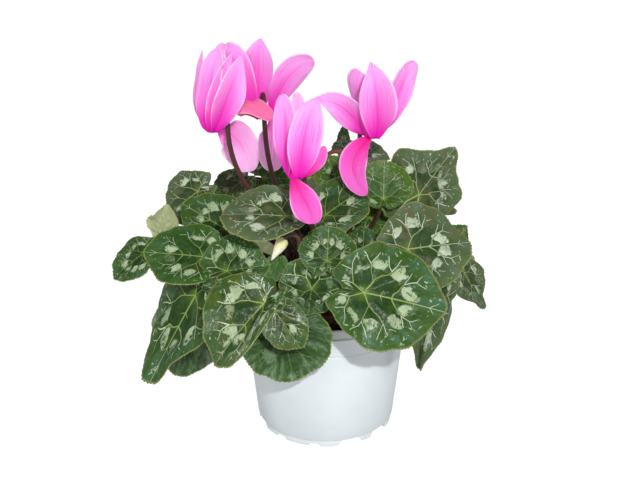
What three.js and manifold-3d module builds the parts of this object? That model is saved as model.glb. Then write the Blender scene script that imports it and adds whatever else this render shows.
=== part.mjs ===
import * as THREE from 'three';
import { mergeVertices } from 'three/addons/utils/BufferGeometryUtils.js';
import Module from 'manifold-3d';

const wasm = await Module();
wasm.setup();

// Potted cyclamen in millimetres, +Z up. The origin is the middle of the pot's foot, on the surface
// that it stands on, and the side that is seen first faces -Y.

// Pot
const POT_HEIGHT = 96;
const BEAD_RADIUS = 60;
const BEAD_Z = 88.5;
const BEAD_HALF = 1.2;
const LIP_RADIUS = 58.8;
const COLLAR_Z = 76.2;
const BODY_TOP_RADIUS = 58;
const BODY_FOOT_RADIUS = 50.8;
const FOOT_RADIUS = 50;
const FOOT_HEIGHT = 5;
const WALL = 1.6;
const HUB_RADIUS = 16;
const NOTCH_COUNT = 12;
const NOTCH_FIRST = THREE.MathUtils.degToRad(-69);
const NOTCH_WIDE = [20, 12, 5];
const NOTCH_NARROW = [12, 5, 2.4];
const DRAIN_COUNT = 6;
const DRAIN_RADIUS = 5;
const DRAIN_RING = 32;
const POT_SIDES = 32;

// Soil and tuber
const CLEAR = 0.3;
const SOIL_Z = 85;
const SOIL_RIPPLE = 1.1;
const SOIL_SIDES = 24;
const TUBER_RADIUS = 27;
const TUBER_TOP = 92;
const TUBER_BASE = 78;
const TUBER_SIDES = 18;
const SOCKET_FLOOR = 85;
const SOCKET_RINGS = [8.5, 15.4, 22.3];
const SOCKET_GAP = 5.3;

// Stalks
const STALK_SIDES = 4;
const STALK_ROOT = 1.9;
const STALK_TOP = 1.3;
const STALK_STEP = 22;
const STALK_EXIT = TUBER_TOP + 1;

// Leaves
const BLADE_THICK = 0.8;
const BLADE_RINGS = [0, 0.55, 1];
const BLADE_POINTS_PER_MM = 0.34;
const TOOTH = 0.028;
const CUP = 0.05;
const RUFFLE = 0.035;
const SINUS = 0.1;
const SINUS_ROUND = 0.36;
const SINUS_DEPTH = 0.4;
const CORNER_STEP = 1.38;
const OUTLINE_EVEN = 0.68;
const OUTLINE_LONG = 0.26;
const OUTLINE_LOBED = 0.06;
const TIP_DRAWN = 0.05;
const TIP_ANGLE = 0.2;
const TIP_SPREAD = 0.6;
const RUFFLE_COUNT = 5;

// Blooms and buds
const PETAL_THICK = 0.8;
const PETAL_ROWS = 5;
const PETAL_COLUMNS = 4;
const PETAL_FOOT = 0.34;
const PETAL_BLUNT = 2.2;
const PETAL_LEAST = 0.03;
const PETAL_CUP = 0.22;
const PETAL_TURNED = 0.4;
const TUBE_RADIUS = 5.2;
const TUBE_HEIGHT = 8;
const STEM_SIDES = 5;
const STEM_ROOT = 2;
const STEM_TOP = 1.4;
const HOOK_RADIUS = 4.8;
const CALYX_RADIUS = 3.2;
const CALYX_HEIGHT = 2.6;
const BUD_LENGTH = 17;
const BUD_RADIUS = 3.4;

const UP = new THREE.Vector3(0, 0, 1);
const rad = THREE.MathUtils.degToRad;
const vec = (p) => new THREE.Vector3(p[0], p[1], p[2]);

// Every leaf: at is where its stalk meets the blade, and size is the length from there to the tip. face is
// the bearing and the height in degrees of the way the upper side looks, and turn swings the tip round
// from straight downhill. ring is the ring of sockets that the stalk grows from. droop bends the blade
// along its midrib, fold across it and twist winds it up along it. width widens it, taper narrows it towards
// its tip, skew shifts its width to one side, round takes the heart shape out of it, point draws its tip out
// and angular gives it corners. rise and reach shape the stalk where it leaves and arrives.
const LEAVES = [
  { name: 'front_right', at: [24, -78, 133], size: 51, face: [-84, 34], turn: 76, ring: 2, point: 0.09,
    angular: 0.05 },
  { name: 'right_upper', at: [53, -52, 152], size: 44, face: [-74, 38], turn: 92, ring: 1, angular: 0.06 },
  { name: 'right_crest', at: [65, 2, 172], size: 48, face: [-75, 24], turn: 144, ring: 1, fold: 0.02,
    droop: -0.006, width: 0.92, skew: -0.3, round: 0.8, point: 0.12, angular: 0.3 },
  { name: 'green_fan', at: [39, -17, 175], size: 21, face: [-88, 25], turn: 178, ring: 1, width: 1.3,
    round: -0.6 },
  { name: 'crown_right', at: [9, 2, 179], size: 21, face: [-95, 30], turn: -155, ring: 0 },
  { name: 'crown_front', at: [0, -36, 170], size: 32, face: [-85, 48], turn: 128, ring: 1, width: 0.85,
    round: -0.2 },
  { name: 'heart_front', at: [1, -65, 149], size: 22, face: [-90, 32], turn: 178, ring: 2, width: 1.22 },
  { name: 'heart_right', at: [25, -34, 139], size: 22, face: [-80, 45], turn: 170, ring: 1 },
  { name: 'inner_right', at: [31, 0, 156], size: 28, face: [-84, 42], turn: 172, ring: 1 },
  { name: 'notched_front', at: [-9, -68, 131], size: 29, face: [-92, 22], turn: -6, ring: 2,
    droop: -0.015, round: 1.4 },
  { name: 'gloss_left', at: [-38, -91, 131], size: 43, face: [-100, 40], turn: -37, ring: 2,
    droop: 0.012, round: -0.4, width: 0.75, skew: -0.5, angular: 0.08, rise: 0.65, reach: 0.06 },
  { name: 'gloss_lobe', at: [-32, -83, 123], size: 25, face: [-84, 22], turn: 32, ring: 2, width: 0.8,
    round: -0.4 },
  { name: 'pot_front', at: [-27, -73, 105], size: 37, face: [-92, 12], turn: 10, ring: 2, width: 1.2,
    round: 0.2 },
  { name: 'hanging_left', at: [-85, -58, 122], size: 50, face: [-118, 12], turn: -26, ring: 2,
    fold: 0.02, droop: 0.002, width: 0.7, taper: 0.5, skew: -0.1, round: -0.5, point: 0.4, twist: 0.3 },
  { name: 'shade_left', at: [-87, -34, 98], size: 49, face: [-105, 4], turn: -29, ring: 2, width: 0.72,
    round: -0.4 },
  { name: 'bright_left', at: [-79, -56, 148], size: 39, face: [-100, 46], turn: -92, ring: 2, width: 0.82 },
  { name: 'bent_left', at: [-63, -68, 143], size: 31, face: [-96, 42], turn: 104, ring: 1, width: 0.86,
    skew: 0.35, round: 0.5, fold: 0.012 },
  { name: 'dull_centre', at: [-25, -62, 178], size: 35, face: [-92, 54], turn: -95, ring: 1, width: 0.8,
    round: -0.5 },
  { name: 'crown_left', at: [-67, -38, 161], size: 35, face: [-102, 42], turn: -116, ring: 1, width: 0.9,
    angular: 0.08 },
  { name: 'left_crest', at: [-88, -5, 176], size: 32, face: [-118, 34], turn: -45, ring: 1, angular: 0.16 },
  { name: 'pale_back', at: [-112, -18, 148], size: 30, face: [70, 20], turn: -158, ring: 1, width: 0.75,
    angular: 0.25 },
  { name: 'far_left', at: [-121, -40, 144], size: 28, face: [-118, 34], turn: -44, ring: 2, width: 0.8,
    angular: 0.14 },
  { name: 'shade_crown', at: [-61, 25, 174], size: 22, face: [-100, 50], turn: -40, ring: 0 },
  { name: 'green_crown', at: [-45, 35, 174], size: 27, face: [-70, 50], turn: 80, ring: 0 },
  { name: 'back_tip', at: [13, 70, 184], size: 14, face: [-95, 4], turn: 178, ring: 1, width: 0.55,
    round: -0.5, point: 0.3 },
  { name: 'back_crest', at: [23, 45, 189], size: 31, face: [-60, 77], turn: 80, ring: 0, round: 0.7 },
  { name: 'far_right_tip', at: [87, -7, 137], size: 21, face: [-60, 30], turn: 120, ring: 2, angular: 0.2 },
  { name: 'hanging_right', at: [97, -12, 119], size: 28, face: [-45, 12], turn: 31, ring: 2, fold: 0.03,
    width: 0.7, taper: 0.6, round: -0.2, point: 0.36, twist: 0.6 },
  { name: 'drooping_right', at: [74, -46, 119], size: 49, face: [-70, 4], turn: -14, ring: 2, fold: 0.04,
    width: 0.42, taper: 0.6, point: 0.3, twist: 0.5 },
  { name: 'young_front', at: [-31, -55, 144], size: 12, face: [-95, 30], turn: -12, ring: 2, rise: 0.2 },
  { name: 'inner_left', at: [-21, 31, 121], size: 24, face: [-95, 6], turn: 178, ring: 2, width: 0.72,
    rise: 0.2 },
  { name: 'back_low_1', at: [88, 38, 125], size: 40, face: [28, 35], turn: 0, ring: 2, angular: 0.08 },
  { name: 'back_low_2', at: [52, 82, 120], size: 42, face: [60, 32], turn: 5, ring: 2 },
  { name: 'back_low_3', at: [2, 98, 124], size: 40, face: [90, 34], turn: -5, ring: 2, angular: 0.1 },
  { name: 'back_low_4', at: [-48, 84, 118], size: 42, face: [120, 30], turn: 5, ring: 2 },
  { name: 'back_low_5', at: [-88, 44, 124], size: 40, face: [155, 34], turn: 0, ring: 2, angular: 0.08 },
  { name: 'back_high_1', at: [72, 45, 160], size: 34, face: [35, 52], turn: 10, ring: 1 },
  { name: 'back_high_2', at: [32, 78, 156], size: 36, face: [68, 48], turn: 0, ring: 1 },
  { name: 'back_high_3', at: [-18, 78, 158], size: 36, face: [100, 50], turn: 0, ring: 1, angular: 0.1 },
  { name: 'back_high_4', at: [-62, 58, 156], size: 35, face: [135, 48], turn: 0, ring: 1 },
  { name: 'back_crown_1', at: [47, 28, 171], size: 25, face: [35, 62], turn: 0, ring: 0 },
  { name: 'back_crown_2', at: [-2, 43, 168], size: 26, face: [95, 58], turn: 0, ring: 0 },
];

// Every bloom: at is the middle of its mouth, hook is the bearing that its stem comes in from, and ring its
// ring of sockets. A petal grows at the bearing from, bends at mid and ends at tip, both from the mouth.
// turn is how far its face swings round its own length from looking straight out, peak where it is widest
// along its length, and point how sharp its tip is.
const BLOOMS = [
  {
    name: 'left', at: [-71, -42, 228], hook: -15, ring: 0, reach: 0.4,
    petals: [
      { from: 165, mid: [-8, 1, 27], tip: [-5, 4, 49], width: 12, turn: 45, point: 0.8 },
      { from: -150, mid: [7, -9, 37], tip: [5, -2, 51], width: 15, turn: 50 },
      { from: -105, mid: [11, -16, 39], tip: [13, -5, 49], width: 9, turn: 24, point: 0.9 },
      { from: -70, mid: [17, -17, 38], tip: [19, -8, 48], width: 17, turn: -10, point: 0.8 },
      { from: 44, mid: [28, 18, -4], tip: [24, 14, -27], width: 28, turn: -75, peak: 0.6, point: 0.4 },
    ],
  },
  {
    name: 'centre_back', at: [-42, -10, 229], hook: -80, ring: 0, reach: 0.5,
    petals: [
      { from: 165, mid: [-8, 2, 61], tip: [-27, 2, 46], width: 17, turn: -79 },
      { from: 110, mid: [-4, 5, 41], tip: [0, 5, 50], width: 17, turn: -10, point: 1.0 },
      { from: 30, mid: [10, 1, 41], tip: [33, 0, 39], width: 19, turn: 60, peak: 0.6 },
      { from: -150, mid: [-18, -26, 23], tip: [7, -16, 4], width: 12, turn: 40, point: 0.4 },
      { from: -10, mid: [2, 16, -27], tip: [7, 8, -39], width: 19, turn: 81, point: 0.4 },
    ],
  },
  {
    name: 'front', at: [-18, -76, 208], hook: 62, ring: 2,
    petals: [
      { from: -165, mid: [-3, -6, 41], tip: [-8, -3, 50], width: 12, turn: 65 },
      { from: -68, mid: [7, -18, 47], tip: [11, -6, 48], width: 18, turn: -12 },
      { from: 135, mid: [6, 15, 44], tip: [-1, 11, 49], width: 9, turn: -44 },
      { from: -14, mid: [14, 5, 14], tip: [16, 2, 19], width: 12, turn: -51 },
      { from: -105, mid: [9, -13, -13], tip: [10, -7, -27], width: 17, turn: -13, peak: 0.65, point: 0.4 },
    ],
  },
  {
    name: 'right', at: [31, -14, 217], hook: 150, ring: 0,
    petals: [
      { from: -160, mid: [-15, -8, 26], tip: [-39, -6, 28], width: 16, turn: 65, point: 1.0 },
      { from: -75, mid: [4, -21, 35], tip: [-3, -5, 50], width: 20, turn: -10, point: 0.8 },
      { from: 75, mid: [-19, 12, 39], tip: [-9, 8, 43], width: 12, turn: -5, point: 0.4 },
      { from: 5, mid: [18, 5, 37], tip: [25, 3, 49], width: 17, turn: -75 },
      { from: -125, mid: [-25, -20, -12], tip: [-4, -13, -36], width: 18, turn: -31, peak: 0.6 },
    ],
  },
];

// Every bud: at is the top of its arched stem, hook the bearing that the stem arches towards, and ring its
// ring of sockets. The stem runs on over a bend of the given radius, and the bud hangs from its end.
const BUDS = [
  { name: 'pale', at: [-22, -57, 164], hook: 190, bend: 5, ring: 1, lean: 32 },
  { name: 'hidden', at: [8, 20, 198], hook: -15, bend: 10, ring: 0, lean: 50 },
];

// The points and triangles of a mesh, with points that meet made one and empty triangles left out.
function welded(geometry, tolerance) {
  const bare = geometry.clone();
  for (const name of Object.keys(bare.attributes)) {
    if (name !== 'position') bare.deleteAttribute(name);
  }
  const merged = mergeVertices(bare, tolerance);
  const triangles = [];
  for (let i = 0; i < merged.index.count; i += 3) {
    const [a, b, c] = [0, 1, 2].map((k) => merged.index.getX(i + k));
    if (a !== b && b !== c && c !== a) triangles.push(a, b, c);
  }
  return { points: new Float32Array(merged.attributes.position.array), triangles };
}

function solid(geometry) {
  const { points, triangles } = welded(geometry, 1e-4);
  const make = (list) => new wasm.Manifold(new wasm.Mesh({
    numProp: 3,
    vertProperties: points,
    triVerts: new Uint32Array(list),
  }));
  const body = make(triangles);
  if (body.volume() > 0) return body;
  return make(triangles.toReversed());
}

function geometryOf(body) {
  const mesh = body.getMesh();
  const raw = new THREE.BufferGeometry();
  raw.setAttribute('position', new THREE.BufferAttribute(new Float32Array(mesh.vertProperties), 3));
  raw.setIndex(new THREE.BufferAttribute(new Uint32Array(mesh.triVerts), 1));
  const { points, triangles } = welded(raw, 2e-3);
  const geometry = new THREE.BufferGeometry();
  geometry.setAttribute('position', new THREE.BufferAttribute(points, 3));
  geometry.setIndex(triangles);
  geometry.computeVertexNormals();
  return geometry;
}

// A closed body of revolution from an outline of [radius, height] pairs that starts and ends on the axis.
function turned(outline, sides) {
  const lathe = new THREE.LatheGeometry(outline.map(([r, z]) => new THREE.Vector2(r, z)), sides);
  return lathe.rotateX(Math.PI / 2);
}

// A closed body through a row of rings of points, capped at both ends.
function loft(rings) {
  const sides = rings[0].length;
  const points = rings.flat();
  const index = [];
  for (let i = 0; i + 1 < rings.length; i += 1) {
    for (let j = 0; j < sides; j += 1) {
      const a = i * sides + j;
      const b = i * sides + ((j + 1) % sides);
      index.push(a, b, b + sides, a, b + sides, a + sides);
    }
  }
  const last = (rings.length - 1) * sides;
  for (let j = 1; j + 1 < sides; j += 1) {
    index.push(0, j + 1, j);
    index.push(last, last + j, last + j + 1);
  }
  const geometry = new THREE.BufferGeometry().setFromPoints(points);
  geometry.setIndex(index);
  return geometry;
}

// A round bar along a row of points, with one radius for each point.
function bar(points, radii, sides) {
  let side = new THREE.Vector3(1, 0, 0);
  return loft(points.map((point, i) => {
    const before = points[Math.max(i - 1, 0)];
    const after = points[Math.min(i + 1, points.length - 1)];
    const along = after.clone().sub(before).normalize();
    side = side.clone().addScaledVector(along, -side.dot(along)).normalize();
    const across = along.clone().cross(side);
    return Array.from({ length: sides }, (_, j) => {
      const angle = (2 * Math.PI * j) / sides;
      return point.clone()
        .addScaledVector(side, radii[i] * Math.cos(angle))
        .addScaledVector(across, radii[i] * Math.sin(angle));
    });
  }));
}

// A closed sheet of even thickness about a grid of points. The rows of a fan all start at one point.
function sheet(grid, thickness, fan = false) {
  const rows = grid.length;
  const columns = grid[0].length;
  const at = (i, j) => (fan && i === 0 ? 0 : i * columns + j);
  const faces = [];
  for (let i = 0; i + 1 < rows; i += 1) {
    for (let j = 0; j + 1 < columns; j += 1) {
      faces.push([at(i, j), at(i + 1, j), at(i + 1, j + 1)]);
      if (!fan || i > 0) faces.push([at(i, j), at(i + 1, j + 1), at(i, j + 1)]);
    }
  }
  const middle = grid.flat();
  const normals = middle.map(() => new THREE.Vector3());
  for (const [a, b, c] of faces) {
    const normal = middle[b].clone().sub(middle[a]).cross(middle[c].clone().sub(middle[a]));
    for (const k of [a, b, c]) normals[k].add(normal);
  }
  const upper = middle.map((p, k) => p.clone().addScaledVector(normals[k].normalize(), thickness / 2));
  const lower = middle.map((p, k) => p.clone().addScaledVector(normals[k], -thickness / 2));
  const under = middle.length;
  const index = faces.flatMap(([a, b, c]) => [a, b, c, a + under, c + under, b + under]);
  const edge = [];
  for (let i = 0; i + 1 < rows; i += 1) edge.push([at(i, 0), at(i + 1, 0)]);
  for (let j = 0; j + 1 < columns; j += 1) edge.push([at(rows - 1, j), at(rows - 1, j + 1)]);
  for (let i = rows - 1; i > 0; i -= 1) edge.push([at(i, columns - 1), at(i - 1, columns - 1)]);
  if (!fan) for (let j = columns - 1; j > 0; j -= 1) edge.push([at(0, j), at(0, j - 1)]);
  for (const [a, b] of edge) index.push(a, a + under, b + under, a, b + under, b);
  const geometry = new THREE.BufferGeometry().setFromPoints([...upper, ...lower]);
  geometry.setIndex(index);
  return geometry;
}

function potSolid() {
  const floor = FOOT_HEIGHT + WALL;
  const footInner = FOOT_RADIUS - 3;
  const hubTop = HUB_RADIUS - WALL;
  const outline = [
    [0, 0], [HUB_RADIUS - 0.8, 0], [HUB_RADIUS, 0.8], [HUB_RADIUS + 1, FOOT_HEIGHT],
    [footInner, FOOT_HEIGHT], [footInner, 0], [FOOT_RADIUS, 0], [FOOT_RADIUS, FOOT_HEIGHT],
    [BODY_FOOT_RADIUS, FOOT_HEIGHT], [BODY_TOP_RADIUS, COLLAR_Z], [LIP_RADIUS, COLLAR_Z],
    [LIP_RADIUS + 0.2, BEAD_Z - BEAD_HALF], [BEAD_RADIUS, BEAD_Z - 0.5], [BEAD_RADIUS, BEAD_Z + 0.5],
    [LIP_RADIUS, BEAD_Z + BEAD_HALF], [LIP_RADIUS, POT_HEIGHT - 0.6], [LIP_RADIUS - 0.6, POT_HEIGHT],
    [LIP_RADIUS - WALL, POT_HEIGHT], [LIP_RADIUS - WALL, COLLAR_Z], [BODY_TOP_RADIUS - WALL, COLLAR_Z - 2],
    [BODY_FOOT_RADIUS - WALL, floor], [hubTop + 1, floor], [hubTop, WALL], [0, WALL],
  ];
  let pot = solid(turned(outline, POT_SIDES));
  for (let i = 0; i < NOTCH_COUNT; i += 1) {
    const [foot, head, height] = i % 4 < 2 ? NOTCH_WIDE : NOTCH_NARROW;
    const shape = new THREE.Shape([
      new THREE.Vector2(-foot / 2, -1), new THREE.Vector2(foot / 2, -1),
      new THREE.Vector2(head / 2, height), new THREE.Vector2(-head / 2, height),
    ]);
    const cutter = new THREE.ExtrudeGeometry(shape, { depth: 8, bevelEnabled: false });
    cutter.rotateX(Math.PI / 2).translate(0, -FOOT_RADIUS + 5, 0);
    cutter.rotateZ(NOTCH_FIRST + Math.PI / 2 + (2 * Math.PI * i) / NOTCH_COUNT);
    pot = pot.subtract(solid(cutter));
  }
  for (let i = 0; i < DRAIN_COUNT; i += 1) {
    const drill = new THREE.CylinderGeometry(DRAIN_RADIUS, DRAIN_RADIUS, 3 * WALL, 10);
    drill.rotateX(Math.PI / 2).translate(DRAIN_RING, 0, FOOT_HEIGHT + WALL / 2);
    drill.rotateZ((2 * Math.PI * i) / DRAIN_COUNT);
    pot = pot.subtract(solid(drill));
  }
  return pot;
}

function soilSolid() {
  const floor = FOOT_HEIGHT + WALL + CLEAR;
  const inner = (z) => {
    const rise = (z - FOOT_HEIGHT) / (COLLAR_Z - FOOT_HEIGHT);
    const wall = Math.min(THREE.MathUtils.lerp(BODY_FOOT_RADIUS, BODY_TOP_RADIUS, rise), BODY_TOP_RADIUS);
    return wall - WALL - 2 * CLEAR;
  };
  const hub = HUB_RADIUS - WALL - CLEAR;
  const bed = TUBER_RADIUS + CLEAR;
  const outline = [
    [0, WALL + CLEAR], [hub - 0.4, WALL + CLEAR], [hub, floor], [inner(floor), floor],
    [inner(COLLAR_Z - 3), COLLAR_Z - 3], [inner(SOIL_Z), SOIL_Z], [inner(SOIL_Z) - 8, SOIL_Z + 0.6],
    [(inner(SOIL_Z) + bed) / 2, SOIL_Z], [bed + 3, SOIL_Z + 1], [bed, SOIL_Z - 0.5],
    [bed, TUBER_BASE - CLEAR], [0, TUBER_BASE - CLEAR],
  ];
  const lathe = turned(outline, SOIL_SIDES);
  const place = lathe.attributes.position;
  for (let i = 0; i < place.count; i += 1) {
    const [x, y, z] = [place.getX(i), place.getY(i), place.getZ(i)];
    if (z > SOIL_Z - 0.2) place.setZ(i, z + SOIL_RIPPLE * Math.sin(0.31 * x + 1) * Math.cos(0.27 * y));
  }
  return solid(lathe);
}

// The bearing of each stalk's socket: that of what it carries, pushed along its ring until all have room.
function socketBearings(stalks) {
  const bearings = new Map();
  SOCKET_RINGS.forEach((radius, ring) => {
    const row = stalks.filter((stalk) => stalk.ring === ring)
      .map((stalk) => ({ name: stalk.name, angle: Math.atan2(stalk.at[1], stalk.at[0]) }))
      .sort((a, b) => a.angle - b.angle);
    const gap = SOCKET_GAP / radius;
    for (let pass = 0; pass < 300; pass += 1) {
      row.forEach((one, i) => {
        const next = row[(i + 1) % row.length];
        const ahead = next.angle + (i + 1 === row.length ? 2 * Math.PI : 0) - one.angle;
        if (ahead < gap) {
          one.angle -= (gap - ahead) / 2;
          next.angle += (gap - ahead) / 2;
        }
      });
    }
    for (const one of row) {
      const place = new THREE.Vector3(radius * Math.cos(one.angle), radius * Math.sin(one.angle), 0);
      bearings.set(one.name, place);
    }
  });
  return bearings;
}

const SOCKETS = socketBearings([...LEAVES, ...BLOOMS, ...BUDS]);

// A stalk's line: straight up out of its socket, then one curve that ends at a point and a direction.
function stalkLine(name, end, arrival, rise = 0.45, reach = 0.3) {
  const root = SOCKETS.get(name).clone().setZ(SOCKET_FLOOR + CLEAR);
  const exit = root.clone().setZ(STALK_EXIT);
  const span = exit.distanceTo(end);
  const curve = new THREE.CubicBezierCurve3(
    exit,
    exit.clone().addScaledVector(UP, rise * span),
    end.clone().addScaledVector(arrival, -reach * span),
    end,
  );
  const steps = Math.max(4, Math.round(span / STALK_STEP));
  return [root, ...curve.getPoints(steps)];
}

function leafFrame(leaf) {
  const [bearing, height] = leaf.face.map(rad);
  const normal = new THREE.Vector3(
    Math.cos(height) * Math.cos(bearing),
    Math.cos(height) * Math.sin(bearing),
    Math.sin(height),
  );
  const downhill = new THREE.Vector3(
    Math.sin(height) * Math.cos(bearing),
    Math.sin(height) * Math.sin(bearing),
    -Math.cos(height),
  );
  const level = normal.clone().cross(downhill);
  const turn = rad(leaf.turn);
  const tip = downhill.clone().multiplyScalar(Math.cos(turn)).addScaledVector(level, Math.sin(turn));
  return { normal, tip, side: normal.clone().cross(tip) };
}

function bend(along, off, curvature) {
  if (Math.abs(curvature) < 1e-6) return [along, off];
  const radius = 1 / curvature + off;
  return [radius * Math.sin(curvature * along), radius * Math.cos(curvature * along) - 1 / curvature];
}

// The leaf's outline: its reach at an angle from the tip, heart-shaped and open at the stalk.
function leafReach(leaf, angle) {
  const round = leaf.round ?? 0;
  const lobes = OUTLINE_LONG * Math.cos(angle) + OUTLINE_LOBED * Math.cos(2 * angle);
  const heart = OUTLINE_EVEN + (1 - round) * lobes;
  const drip = leaf.point ?? TIP_DRAWN;
  const point = drip * Math.exp(-((angle / (TIP_ANGLE + TIP_SPREAD * (drip - TIP_DRAWN))) ** 2));
  const open = THREE.MathUtils.smoothstep(Math.PI - Math.abs(angle), SINUS * 0.6, SINUS + SINUS_ROUND);
  const hollow = (leaf.angular ?? 0) * Math.abs(Math.sin((Math.PI * angle) / CORNER_STEP));
  return leaf.size * (heart + point) * (1 - SINUS_DEPTH * (1 - open)) * (1 - hollow);
}

// A point of the blade's middle surface, part of the way out along an angle from the tip.
function leafPoint(leaf, frame, part, angle, tooth) {
  const reach = part * leafReach(leaf, angle) * (1 + tooth);
  const out = reach / leaf.size;
  const ruffle = RUFFLE * leaf.size * out * out;
  let along = reach * Math.cos(angle);
  const lean = 1 + (leaf.skew ?? 0) * Math.sin(angle);
  const slim = 1 - (leaf.taper ?? 0) * THREE.MathUtils.clamp(along / leaf.size, 0, 1) ** 2;
  let across = (leaf.width ?? 1) * lean * slim * reach * Math.sin(angle);
  let off = CUP * leaf.size * out * out + ruffle * Math.sin(RUFFLE_COUNT * angle + leaf.at[0]);
  [across, off] = bend(across, off, leaf.fold ?? 0.006);
  [along, off] = bend(along, off, leaf.droop ?? 0.008);
  const wind = ((leaf.twist ?? 0) * along) / leaf.size;
  const wound = across * Math.cos(wind) - off * Math.sin(wind);
  const raised = across * Math.sin(wind) + off * Math.cos(wind);
  return vec(leaf.at)
    .addScaledVector(frame.tip, along)
    .addScaledVector(frame.side, wound)
    .addScaledVector(frame.normal, raised);
}

function leafSolid(leaf) {
  const frame = leafFrame(leaf);
  const half = Math.max(5, Math.round((BLADE_POINTS_PER_MM * leaf.size) / 2));
  const count = 2 * half + 1;
  const grid = BLADE_RINGS.map((part) => Array.from({ length: count }, (_, j) => {
    const angle = (Math.PI - SINUS) * (j / half - 1);
    const tooth = part === 1 && j !== half ? TOOTH * (j % 2 === half % 2 ? 1 : -1) : 0;
    return leafPoint(leaf, frame, part, angle, tooth);
  }));
  const blade = solid(sheet(grid, BLADE_THICK, true));
  const arrival = frame.normal.clone().multiplyScalar(0.6).addScaledVector(UP, 0.5).normalize();
  const line = stalkLine(leaf.name, vec(leaf.at), arrival, leaf.rise, leaf.reach);
  const radii = line.map((_, i) => THREE.MathUtils.lerp(STALK_ROOT, STALK_TOP, i / (line.length - 1)));
  return blade.add(solid(bar(line, radii, STALK_SIDES)));
}

function petalSolid(petal) {
  const bearing = rad(petal.from);
  const outward = new THREE.Vector3(Math.cos(bearing), Math.sin(bearing), 0);
  const [mid, tip] = [vec(petal.mid), vec(petal.tip)];
  const start = outward.clone().multiplyScalar(TUBE_RADIUS - 1.2).add(new THREE.Vector3(0, 0, 0.8));
  const flare = start.clone().addScaledVector(outward, 6).add(new THREE.Vector3(0, 0, mid.z > 0 ? 0 : -2));
  const spine = new THREE.CubicBezierCurve3(start, flare, mid, tip);
  const grid = [];
  for (let i = 0; i <= PETAL_ROWS; i += 1) {
    const t = i / PETAL_ROWS;
    const centre = spine.getPoint(t);
    const along = spine.getTangent(t);
    const face = outward.clone().applyAxisAngle(along, rad(petal.turn) * Math.min(t / PETAL_TURNED, 1));
    face.addScaledVector(along, -face.dot(along)).normalize();
    const side = along.clone().cross(face);
    const peak = petal.peak ?? 0.5;
    const swell = THREE.MathUtils.lerp(PETAL_FOOT, 1, THREE.MathUtils.smoothstep(t, 0, peak));
    const rest = 1 - (Math.max(t - peak, 0) / (1 - peak)) ** PETAL_BLUNT;
    const taper = Math.max(rest, PETAL_LEAST) ** (petal.point ?? 0.5);
    const half = (petal.width / 2) * swell * taper;
    grid.push(Array.from({ length: PETAL_COLUMNS + 1 }, (_, j) => {
      const v = (2 * j) / PETAL_COLUMNS - 1;
      return centre.clone().addScaledVector(side, half * v).addScaledVector(face, -PETAL_CUP * half * v * v);
    }));
  }
  return solid(sheet(grid, PETAL_THICK));
}

function corollaSolid(bloom) {
  const wall = [
    [0, 0.6], [TUBE_RADIUS - 2, 0.4], [TUBE_RADIUS, 0], [TUBE_RADIUS, 2],
    [TUBE_RADIUS - 0.6, TUBE_HEIGHT - 2], [TUBE_RADIUS - 2.2, TUBE_HEIGHT], [0, TUBE_HEIGHT],
  ];
  let head = solid(turned(wall, 10));
  for (const petal of bloom.petals) head = head.add(petalSolid(petal));
  return head.translate(bloom.at);
}

// A bloom's stem: up from its socket, over a hook at its top, and down to the calyx on the flower's tube.
function stemSolid(bloom) {
  const bearing = rad(bloom.hook);
  const outward = new THREE.Vector3(Math.cos(bearing), Math.sin(bearing), 0);
  const seat = TUBE_HEIGHT + CLEAR + CALYX_HEIGHT;
  const centre = vec(bloom.at).addScaledVector(outward, HOOK_RADIUS).addScaledVector(UP, seat + 1);
  const entry = centre.clone().addScaledVector(outward, HOOK_RADIUS).addScaledVector(UP, -8);
  const line = stalkLine(bloom.name, entry, UP, bloom.rise ?? 0.4, bloom.reach ?? 0.35);
  for (let i = 0; i <= 6; i += 1) {
    const angle = (Math.PI * i) / 6;
    line.push(centre.clone()
      .addScaledVector(outward, HOOK_RADIUS * Math.cos(angle))
      .addScaledVector(UP, HOOK_RADIUS * Math.sin(angle)));
  }
  line.push(vec(bloom.at).addScaledVector(UP, seat - 1));
  const radii = line.map((_, i) => THREE.MathUtils.lerp(STEM_ROOT, STEM_TOP, i / (line.length - 1)));
  const cup = [
    [0, 0], [CALYX_RADIUS, 0], [CALYX_RADIUS, 0.8], [STEM_TOP + 0.4, CALYX_HEIGHT], [0, CALYX_HEIGHT],
  ];
  const calyx = turned(cup, 8).translate(bloom.at[0], bloom.at[1], bloom.at[2] + TUBE_HEIGHT + CLEAR);
  return solid(bar(line, radii, STEM_SIDES)).add(solid(calyx));
}

// A bud's stem arches over, and the bud hangs from its end along the way that the arch points.
function budPieces(bud) {
  const bearing = rad(bud.hook);
  const outward = new THREE.Vector3(Math.cos(bearing), Math.sin(bearing), 0);
  const centre = vec(bud.at).addScaledVector(UP, -bud.bend);
  const entry = centre.clone().addScaledVector(outward, -bud.bend);
  const line = stalkLine(bud.name, entry, UP, 0.4, 0.3);
  const sweep = Math.PI - rad(bud.lean);
  let way = UP;
  for (let i = 1; i <= 5; i += 1) {
    const angle = (sweep * i) / 5;
    line.push(centre.clone()
      .addScaledVector(outward, -bud.bend * Math.cos(angle))
      .addScaledVector(UP, bud.bend * Math.sin(angle)));
    way = outward.clone().multiplyScalar(Math.sin(angle)).addScaledVector(UP, Math.cos(angle));
  }
  const end = line.at(-1);
  const radii = line.map((_, i) => THREE.MathUtils.lerp(STEM_ROOT, STEM_TOP, i / (line.length - 1)));
  const stations = [0, 0.12, 0.35, 0.6, 0.85, 1];
  const girths = [0.45, 0.8, 1, 0.85, 0.45, 0.12];
  const core = stations.map((t) => end.clone().addScaledVector(way, CLEAR + t * BUD_LENGTH));
  return {
    stem: solid(bar(line, radii, STEM_SIDES)),
    bud: solid(bar(core, girths.map((g) => g * BUD_RADIUS), 7)),
  };
}

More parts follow.
